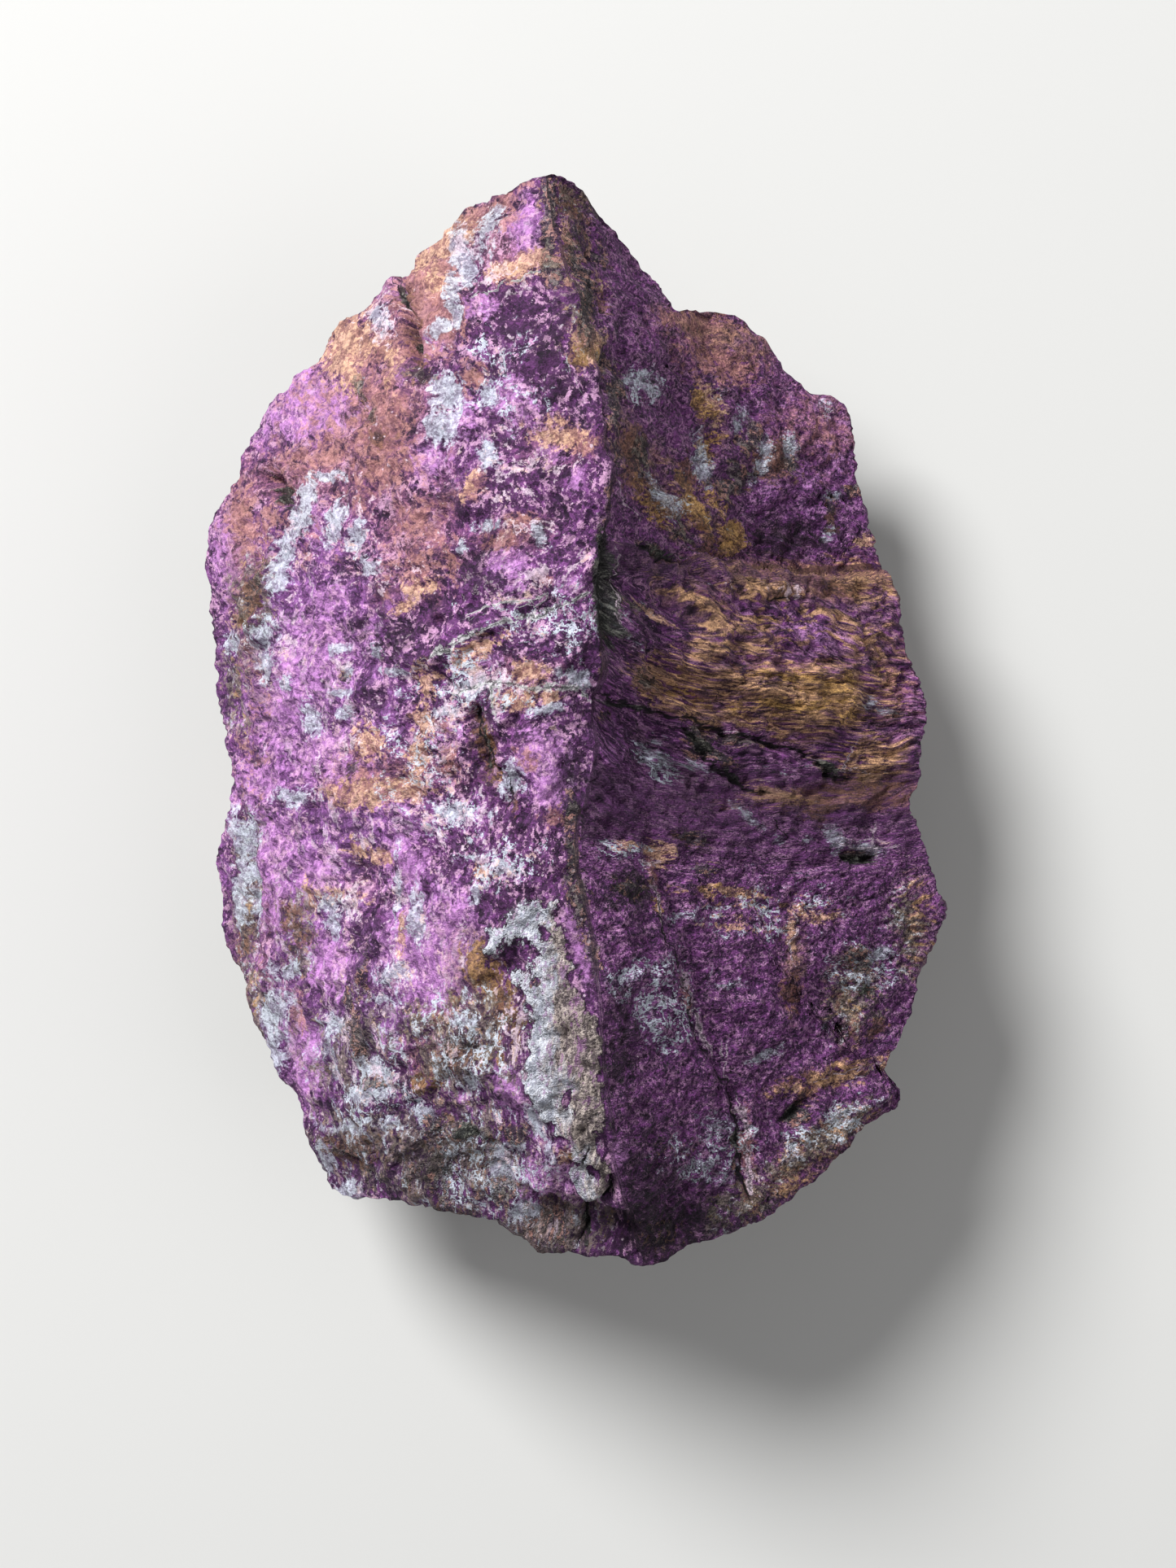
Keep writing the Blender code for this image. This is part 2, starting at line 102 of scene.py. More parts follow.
stoneForm = {
    # the outline from above, anticlockwise from the right-hand side: x, y
    "outline": [
        (20, -0.5), (20.1, 0.8), (20.1, 1.6), (19.9, 2.8), (19.6, 3.6), (19.1, 4.5), (18.6, 6),
        (18.2, 7.5), (17.9, 8.5), (17.5, 9.5), (17.1, 10), (16.9, 10.8), (16.5, 11.3), (16.6, 12.2),
        (16.4, 13.3), (16.1, 14.2), (16, 15.2), (15.9, 16.5), (15.8, 17.5), (15.3, 18.3), (14.4, 18.8),
        (13.1, 19.3), (12, 20.4), (11.1, 21.7), (10.4, 22.2), (10.1, 22.7), (9.5, 23.2), (8, 23.6),
        (6.6, 23.4), (6, 23.1), (5.6, 23.7), (5.2, 24.6), (4.6, 25.4), (4.1, 26.1), (3.6, 26.6),
        (2.4, 27.7), (1.5, 28.6), (1, 29.2), (0.4, 29.5), (-1, 29.6), (-2, 29.6), (-3, 29.3), (-4, 28.9),
        (-4.6, 28.4), (-5.5, 28), (-6.1, 27.4), (-7, 26.7), (-8.3, 25.9), (-8.5, 25.2), (-9.4, 25),
        (-10.4, 24.8), (-11, 24.1), (-11.7, 23.4), (-12.7, 23), (-13.3, 22.3), (-13.9, 21.4),
        (-14.5, 20.4), (-15.4, 20), (-15.9, 19), (-17, 18.3), (-17.8, 17.3), (-18.2, 16.3),
        (-18.7, 15.2), (-19, 14.3), (-19.8, 13.3), (-20.4, 12.5), (-20.6, 11.5), (-20.6, 10),
        (-20.7, 8.8), (-20.8, 7), (-20.8, 5.5), (-20.7, 3.2), (-20.7, 1.4), (-20.1, -0.8), (-19.7, -2.8),
        (-20, -4.5), (-20.2, -5.5), (-20.5, -7), (-20.5, -8.5), (-20.3, -10.3), (-20, -12), (-19.5, -13),
        (-18.6, -14), (-17.8, -15.6), (-17.2, -17), (-16.5, -18.6), (-15.9, -19.8), (-15.3, -21),
        (-15.1, -22), (-14.7, -23.3), (-14, -24.8), (-13.7, -25.7), (-13.1, -26.2), (-12.4, -26.4),
        (-11.8, -26.1), (-10.5, -25.9), (-8.4, -25.5), (-7.5, -25.5), (-6.9, -25.7), (-5, -26),
        (-3.8, -26.1), (-3, -26.9), (-2.2, -27.4), (-1.5, -28), (-0.1, -28), (0.8, -28.4), (1.7, -28.4),
        (3, -28.6), (3.4, -28.8), (4, -28.8), (5, -28.5), (6.2, -27.8), (7.6, -27.3), (8.6, -26.9),
        (10, -26.4), (10.6, -26.1), (12.3, -25.3), (13.4, -24.8), (14, -24.3), (14.4, -23.8),
        (14.8, -23.2), (15.6, -22.5), (16.3, -21.7), (17.4, -21.2), (18.1, -20.8), (18.4, -20.3),
        (18.1, -19.7), (17.6, -19.1), (17.5, -18.6), (17.9, -17.9), (18.3, -17.1), (18.8, -16.2),
        (19.1, -15.5), (19.2, -14.5), (19.3, -13.2), (19.6, -12.3), (20.1, -11.7), (20.5, -10.8),
        (20.7, -9.8), (20.4, -8.8), (20.1, -7.5), (19.9, -6), (19.5, -5), (19.2, -4.2), (19.4, -3.4),
        (19.8, -2.4), (19.9, -1.5),
    ],
    "pointedEnd": (-1.2, 29.3),
    "brokenEnd": (3.9, -28.8),
    # the outline of the flat back, the same way round: x, y
    "backOutline": [
        (15.4, -5), (14, 0), (14.6, 5), (12.6, 12), (8, 16), (4, 20), (-1, 21), (-6, 21.2), (-10, 17.6),
        (-13.6, 15.6), (-16, 9), (-15.6, 3), (-17, -2), (-15, -9), (-14.4, -13), (-9.5, -19),
        (-4, -20.2), (1, -22.4), (6, -20.4), (11, -19), (13, -13),
    ],
    # lines along the stone from the pointed end down: y, x, height
    "ridge": [
        (29, -1.3, 22.4), (25, -0.4, 24), (20.5, 1.2, 25.2), (16.5, 1.9, 25.8), (12, 2.2, 26),
        (5.5, 1.6, 26.1), (3, 1.6, 26.3), (1, 1.6, 26.2), (-1.5, 1.2, 25.9), (-4.5, 0.5, 25.3),
        (-7, 0.4, 25), (-11, 1.3, 24.7), (-15, 1.7, 24.6), (-19.5, 2, 24), (-22.5, 2.3, 23),
        (-25, 3, 21), (-28.5, 3.9, 18),
    ],
    "leftBend": [
        (29, -3, 19.6), (25, -4.4, 21), (16, -6.7, 23.2), (8, -7.4, 23.8), (0, -7.8, 23.2),
        (-8, -8, 22.4), (-16, -8.4, 21.4), (-22, -8.6, 19), (-26, -7, 15.6), (-29, -2.5, 16),
    ],
    "leftShoulder": [
        (29, -5, 16.8), (25, -8.4, 17), (20, -11.6, 16.6), (14.5, -13.8, 16.8), (8, -15.4, 16.6),
        (0, -15.6, 16.2), (-9, -15.2, 15.6), (-15, -14, 15.4), (-20, -12.6, 14.6), (-24, -11.4, 13),
        (-26.5, -9.6, 13.4), (-29, -5, 14),
    ],
    "leftEdge": [
        (29, -7, 14.4), (24.5, -10.8, 12.4), (20, -15.6, 9.6), (14.6, -19, 8.4), (8, -20.8, 7.6),
        (0, -20.3, 7.2), (-9, -20, 7.2), (-15, -18.3, 8), (-19, -16.4, 8.6), (-23, -15, 9),
        (-26.5, -12.4, 10), (-29, -9, 11),
    ],
    "flankEdge": [
        (29, 1.6, 18.2), (26, 2.8, 17.6), (23.5, 4.2, 17.4), (20, 5.2, 17.4), (16, 5.8, 17.2),
        (12, 6, 17.6), (9.4, 5.8, 18.2), (8.4, 5, 20.2), (5, 4.8, 20.6), (1, 4.5, 21.4), (-3, 4, 21.6),
        (-7, 3.8, 21.8), (-15, 4.6, 21.6), (-19.5, 5, 20.8), (-22.5, 5.2, 20), (-25, 5.6, 18.4),
        (-29, 6.2, 16.2),
    ],
    "flankFoot": [
        (29, 3.4, 14), (25, 5.2, 12.4), (21.5, 8.6, 11.4), (16, 10, 11.2), (12, 10.5, 11.2),
        (9.5, 10.6, 11.4), (8.8, 8.6, 16.4), (5, 7, 18.2), (-3, 6.4, 19.6), (-15, 7.4, 19.6),
        (-22.5, 7.8, 18), (-29, 8.4, 15.8),
    ],
    "rightEdge": [
        (29, 8, 9), (24, 10.5, 9), (21.4, 12.5, 8.4), (17.2, 15.8, 7.8), (11.7, 16.8, 7.8),
        (9.5, 17.4, 8.2), (8.9, 17.9, 10.2), (5, 18.6, 10.8), (0, 19.5, 11), (-8.5, 20.3, 12),
        (-17, 18, 13), (-22, 16.4, 13.2), (-26.5, 12, 14), (-29, 11, 14.5),
    ],
    "ledgeTilt": -0.05,
    "ledgeOrigin": 7.0,
    # how softly the slopes turn at leftShoulder, leftBend, ridge, flankEdge and flankFoot
    "rounding": [3.0, 3.0, 0.3, 1.5, 1.5],
    # how much blunter the ridge is than that: y, width
    "blunting": [(29, 1), (26, 1), (14, 0.2), (9.5, 0.3), (5, 0.5), (3, 1.5), (-2.5, 2.1),
                 (-6, 1.3), (-10, 0.8), (-13, 0.4), (-16, 0.6), (-29, 0.6)],
    # how far the ridge wanders sideways, and over what length
    "ridgeCrook": (0.22, 1.5),
    # how the wall curves in, and how far it stands back
    "wallBow": 1.7,
    "wallInset": 0.7,
    # cells of the face and of the back, and rows of the wall in three bands
    "faceCells": (232, 308),
    "backCells": (58, 77),
    "wallRows": (5, 14, 10),
}


def alongLine(line, y):
    # x and height of a line at each y, straight between its points
    table = np.array(line[::-1])
    return np.interp(y, table[:, 0], table[:, 1]), np.interp(y, table[:, 0], table[:, 2])


def ridgeX(y):
    # the ridge's own x at each y
    return alongLine(stoneForm["ridge"], y)[0]


def faceHeight(x, y):
    # height = left slope * distance, plus at each line (change of slope) * (d + sqrt(d^2 + r^2)) / 2
    # where d is the distance past the line and r its rounding
    ledgeY = y - stoneForm["ledgeTilt"] * (x - stoneForm["ledgeOrigin"])
    lines = [alongLine(stoneForm[name], y) for name in ("leftEdge", "leftShoulder", "leftBend", "ridge")]
    lines += [alongLine(stoneForm[name], ledgeY) for name in ("flankEdge", "flankFoot", "rightEdge")]
    flat = np.stack([0.0 * y, y, 0.0 * y], axis=-1).reshape(-1, 3)
    crook, length = stoneForm["ridgeCrook"]
    crooked = crook * askewLumps(flat, length, 33).reshape(np.shape(y))
    lines[3] = (lines[3][0] + crooked, lines[3][1])
    slopes = [(b[1] - a[1]) / (b[0] - a[0]) for a, b in zip(lines, lines[1:])]
    height = lines[0][1] + slopes[0] * (x - lines[0][0])
    for i, width in enumerate(stoneForm["rounding"]):
        if i == 2:
            at, blunt = np.array(stoneForm["blunting"][::-1]).T
            width = width + np.interp(y, at, blunt)
        past = x - lines[i + 1][0]
        height += (slopes[i + 1] - slopes[i]) * 0.5 * (past + np.sqrt(past**2 + width**2))
    return height


def reachAt(angle, outline):
    # distance from the centre to an outline, read at each polar angle
    table = np.array(outline)
    bearing = np.arctan2(table[:, 1], table[:, 0])
    order = np.argsort(bearing)
    return np.interp(angle, bearing[order], np.hypot(table[:, 0], table[:, 1])[order], period=2.0 * math.pi)


def squareToRing(s, t):
    # a square -1..1 rounded to a disc: (s sqrt(1 - t^2/2), t sqrt(1 - s^2/2)), as radius and polar angle;
    # the angle is bent so that s = 0 runs from the broken end to the pointed end
    x = s * np.sqrt(1.0 - t * t / 2.0)
    y = t * np.sqrt(1.0 - s * s / 2.0)
    half = math.pi / 2.0
    tip = math.atan2(stoneForm["pointedEnd"][1], stoneForm["pointedEnd"][0])
    tail = math.atan2(stoneForm["brokenEnd"][1], stoneForm["brokenEnd"][0])
    turned = np.interp(np.arctan2(y, x), [-2 * half, -half, 0.0, half, 2 * half],
                       [-math.pi, tail, 0.0, tip, math.pi])
    return np.hypot(x, y), turned


def facePoint(radius, angle):
    # radius * reach(angle), slid sideways so that the middle column follows the ridge, at faceHeight
    reach = reachAt(angle, stoneForm["outline"])
    x = radius * reach * np.cos(angle)
    y = radius * reach * np.sin(angle)
    tail, tip = stoneForm["brokenEnd"], stoneForm["pointedEnd"]
    straight = np.interp(y, [tail[1], 0.0, tip[1]], [tail[0], 0.0, tip[0]])
    x = x + (ridgeX(y) - straight) * (1.0 - radius**4)
    return np.stack([x, y, faceHeight(x, y)], axis=-1)


def wallPoint(angle, down):
    # from the rim (down = 0) to the foot (down = 1): reach eases inwards as down^bow, height falls evenly
    rim = facePoint(np.ones_like(angle), angle)
    outer = reachAt(angle, stoneForm["outline"])
    inner = reachAt(angle, stoneForm["backOutline"])
    shrink = 1.0 + (inner / outer - 1.0) * down ** stoneForm["wallBow"]
    return np.stack([rim[..., 0] * shrink, rim[..., 1] * shrink, rim[..., 2] * (1.0 - down)], axis=-1)


def gridRing(columns, rows):
    # index of each border point of a grid, once round, anticlockwise from its low corner
    index = np.arange((columns + 1) * (rows + 1)).reshape(rows + 1, columns + 1)
    return np.concatenate([index[0, :-1], index[:-1, -1], index[-1, :0:-1], index[:0:-1, 0]])


def gridQuads(columns, rows):
    # the four corners of each cell of a grid
    index = np.arange((columns + 1) * (rows + 1)).reshape(rows + 1, columns + 1)
    corners = [index[:-1, :-1], index[:-1, 1:], index[1:, 1:], index[1:, :-1]]
    return np.stack([c.ravel() for c in corners], axis=1)


def buildStone():
    # the worked face on a square grid, the wall in three bands of rows that get coarser downwards,
    # and the flat back on a coarse grid, all sharing their border points
    columns, rows = stoneForm["faceCells"]
    s, t = np.meshgrid(np.linspace(-1, 1, columns + 1), np.linspace(-1, 1, rows + 1))
    radius, angle = squareToRing(s.ravel(), t.ravel())
    points = [facePoint(radius, angle)]
    rims = [softStep((radius - 0.9) / 0.1)]
    downs = [np.zeros(radius.size)]
    faces = [gridQuads(columns, rows)]
    ring = gridRing(columns, rows)
    ringAngle = angle[ring]
    count = radius.size

    # a band after the first begins with a row of half as many points, and the row at the foot is left to
    # the back
    bands = stoneForm["wallRows"]
    bandStarts = {sum(bands[:i]) + i for i in range(1, len(bands))}
    steps = sum(bands) + len(bands) - 1
    for row in range(1, steps):
        halved = row in bandStarts
        if halved:
            ringAngle = ringAngle[::2]
        fresh = np.arange(count, count + ringAngle.size)
        freshNext = np.roll(fresh, -1)
        points.append(wallPoint(ringAngle, np.full(ringAngle.size, row / steps)))
        downs.append(np.full(ringAngle.size, row / steps))
        rims.append(np.ones(ringAngle.size))
        count += ringAngle.size
        if halved:
            a, b, c = ring[0::2], ring[1::2], np.roll(ring, -2)[0::2]
            corners = [(a, fresh, b), (fresh, freshNext, b), (b, freshNext, c)]
            faces += [np.stack(three, 1) for three in corners]
        else:
            faces.append(np.stack([ring, fresh, freshNext, np.roll(ring, -1)], 1))
        ring = fresh

    columns, rows = stoneForm["backCells"]
    s, t = np.meshgrid(np.linspace(-1, 1, columns + 1), np.linspace(-1, 1, rows + 1))
    radius, angle = squareToRing(s.ravel(), t.ravel())
    foot = wallPoint(angle, np.ones(angle.size))
    points.append(np.stack([foot[:, 0] * radius, foot[:, 1] * radius, np.zeros(angle.size)], axis=-1))
    downs.append(1.0 + (1.0 - radius))
    rims.append(np.ones(radius.size))
    faces.append(gridQuads(columns, rows)[:, ::-1] + count)
    fresh = gridRing(columns, rows) + count
    faces.append(np.stack([ring, fresh, np.roll(fresh, -1), np.roll(ring, -1)], 1))
    return np.concatenate(points), np.concatenate(downs), np.concatenate(rims), faces


def makeMesh(name, points, faces):
    # points in millimetres, faces in groups of one size
    mesh = bpy.data.meshes.new(name)
    mesh.from_pydata((points * mm).tolist(), [], [f for group in faces for f in group.tolist()])
    mesh.update()
    return mesh


def meshNormals(mesh):
    # the unit normal at every point of the mesh, as rows of x, y, z
    normals = np.empty(len(mesh.vertices) * 3)
    mesh.vertex_normals.foreach_get("vector", normals)
    return normals.reshape(-1, 3)


relief = {
    # lumps shared with the solid: size, height
    "lumps": [(9, 0.5), (3.8, 0.4), (1.9, 0.22)],
    "lumpSeed": 11,
    "wallGain": 1.6,
    # broad dents and rises: x, y, half length, half width, turn in degrees, height
    "dents": [
        (8.6, 1.3, 5.4, 0.9, -24, -1),  # gash under the fibres
        (12, -1.8, 8, 2.6, -20, -0.8),  # step below the gash
        (5.2, -1.6, 6.4, 1.3, -38, -0.8),  # crease down from the ridge
        (16, -6.9, 1, 0.3, 0, -0.5),  # pit near the right edge
        (6.8, -12.6, 8.5, 0.6, -72, -0.5),  # fissure across the right face
        (12.8, -20.4, 0.7, 0.4, 40, -0.3),  # pit low on the right face
        (16.6, -20.2, 1.6, 0.8, 20, 0.5),  # knob at the right corner
        (0.8, -26.4, 2.6, 1.3, -20, -0.8),  # step below the crust
        (2, 7.2, 0.6, 2.5, 3, -0.5),  # slot in the ridge
        (-4.6, -0.9, 0.35, 1.8, 14, -0.55),  # splinter slot
        (-4.2, 5.6, 6.8, 0.7, 27, 0.4),  # vein across the left face
        (-5.4, -22, 3.2, 2.6, 10, -0.6),  # dark hollow low on the left
        (-8.8, 22.4, 0.5, 2.4, 10, -1.1),  # notch in the upper left edge
        (-7.2, 22.9, 1.5, 2, 0, 0.5),  # brown block
        (-16.6, 13.7, 0.45, 1.1, 25, -1.4),  # slot near the left edge
        (12.3, 2, 4.5, 1.6, -4, 0.5),  # bundle of tan fibres
        (10.5, 7.7, 2.6, 0.5, -5, 0.4),  # pale fibres below the ledge
        (2.9, -27, 0.8, 1.6, 0, -0.5),  # small facet left of the end
    ],
    # small roughness: size, height on the left, height on the right
    "hackle": [(2.4, 0.2, 0.18), (1.05, 0.18, 0.14), (0.5, 0.14, 0.12)],
    # how steeply the fibres leave the ridge: y, fall
    "fibreFall": [(-28, 0.5), (-20, 0.22), (-16, 0.1), (-12, 0), (-7, -0.2), (-3, -0.7), (0, -0.85),
                  (1.7, -0.75), (3.4, -0.7), (5, -0.75), (6.9, -0.8), (7.8, -0.7), (8.6, -0.5), (9.8, -0.1)],
    # how far they take to level out
    "fibreBend": 5.0,
    # how much the fibres on the left lean: x, lean
    "leftLean": [(-20, 0.22), (-10, 0.1), (0, -0.04)],
    # where the fibres on the right fan out: the middle of the fan and half its height, in y,
    # and the ledge that ends it: x, y
    "fanMiddle": 3.0,
    "fanHalf": 7.0,
    "ledgeLine": [(0, 9.9), (4, 9.75), (6, 9.2), (17.5, 9.5)],
    "leftFibre": (0.5, 0.14),  # size, height
    "rightFibre": (0.5, 0.12),
    # overlapping layers on the right: thickness, raggedness, height
    "layers": [(2.1, 1.6, 0.34), (1, 1.6, 0.14)],
    "creases": (1.3, 0.24, 0.09),  # size, depth, half width
    # how much of the grain is held back at the rim, and along the ridge
    "rimCalm": 0.45,
    "ridgeCalm": 0.35,
    "ridgeHalf": 0.8,
    # small wanderings of every drawn line: size, distance
    "wiggle": [(0.9, 0.2), (0.35, 0.16)],
    # cracks: how far their sides slope, and how a step beside one falls away
    "crackFlank": 0.14,
    "stepReach": 1.4,
    "stepDrop": 0.3,
    # veins: a low swelling with a groove along its middle
    "veinRise": 0.1,
    "veinFlank": 0.2,
    "veinGroove": 0.1,
    # the value of a line's field at its edge, and far from every line
    "lineEdge": 0.15,
    "lineFar": 9.0,
    "crustRise": 0.3,
    "crustRough": 0.2,
    # how much the fibres stretch the grain along them, and squeeze it across, down the right side:
    # y, along, across
    "rightStretch": [(-28, 0.9, 1), (-9, 0.85, 1), (-4, 0.6, 1.1), (1.5, 0.36, 1.4), (7.5, 0.42, 1.35),
                     (11.5, 0.8, 1), (28, 0.95, 1)],
    # the same down the left side: y, along
    "leftStretch": [(-30, 0.5), (-17, 0.5), (-12, 0.75), (-6, 0.9), (8, 0.9), (13, 0.7), (30, 0.7)],
    # how far the fibres wander sideways: size, distance
    "wander": [(2.6, 0.45), (1.1, 0.14)],
}


def ellipseFall(x, y, spots):
    # for each spot its strength and the distance from its middle in units of its size: the length of
    # (x turned / half length, y turned / half width)
    for cx, cy, halfLong, halfWide, turn, strength in spots:
        c, s = math.cos(math.radians(turn)), math.sin(math.radians(turn))
        a = ((x - cx) * c + (y - cy) * s) / halfLong
        b = ((y - cy) * c - (x - cx) * s) / halfWide
        yield strength, np.hypot(a, b)


def rightFlow(x, y):
    # fibres leave the ridge at y0 and follow y = y0 + fall(y0) * L * tanh(d / L); y0 is found by repetition.
    # above the ledge they run beside the last fibre below it
    away = np.maximum(x - ridgeX(y), 0.0)
    below = np.minimum(y, np.interp(x, *np.array(relief["ledgeLine"]).T))
    at, fall = np.array(relief["fibreFall"]).T
    bend = relief["fibreBend"]
    run = bend * np.tanh(away / bend)
    start = below
    for _ in range(12):
        start = 0.5 * start + 0.5 * (below - np.interp(start, at, fall) * run)
    return away, start + y - below


def leftFlow(x, y):
    # fibres run nearly upright, leaning left towards the left edge: across = x + lean * y
    lean = np.interp(x, *np.array(relief["leftLean"]).T)
    return x + lean * y, y


def runningTotal(at, rates, values):
    # the integral of a rate that is given at a few places
    fine = np.linspace(at[0] - 5.0, at[-1] + 5.0, 400)
    total = np.cumsum(np.interp(fine, at, rates)) * (fine[1] - fine[0])
    return np.interp(values, fine, total)


def grainPlace(points, worked):
    # where each point sits in the grain: stretched along the fibres on either side of the ridge,
    # plain elsewhere
    x, y, z = points.T
    away, start = rightFlow(x, y)
    across, along = leftFlow(x, y)
    at, stretch, squeeze = np.array(relief["rightStretch"]).T
    right = np.stack([away * np.interp(start, at, stretch), runningTotal(at, squeeze, start), z * 0.3], 1)
    at, stretch = np.array(relief["leftStretch"]).T
    left = np.stack([across, runningTotal(at, stretch, along), z * 0.6], 1)
    flow = np.where((x > ridgeX(y))[:, None], right, left)
    for i, (size, distance) in enumerate(relief["wander"]):
        flow[:, 1] += distance * askewLumps(points, size, 600 + i)
        flow[:, 0] += distance * askewLumps(points, size, 620 + i)
    return points + (flow - points) * worked[:, None]


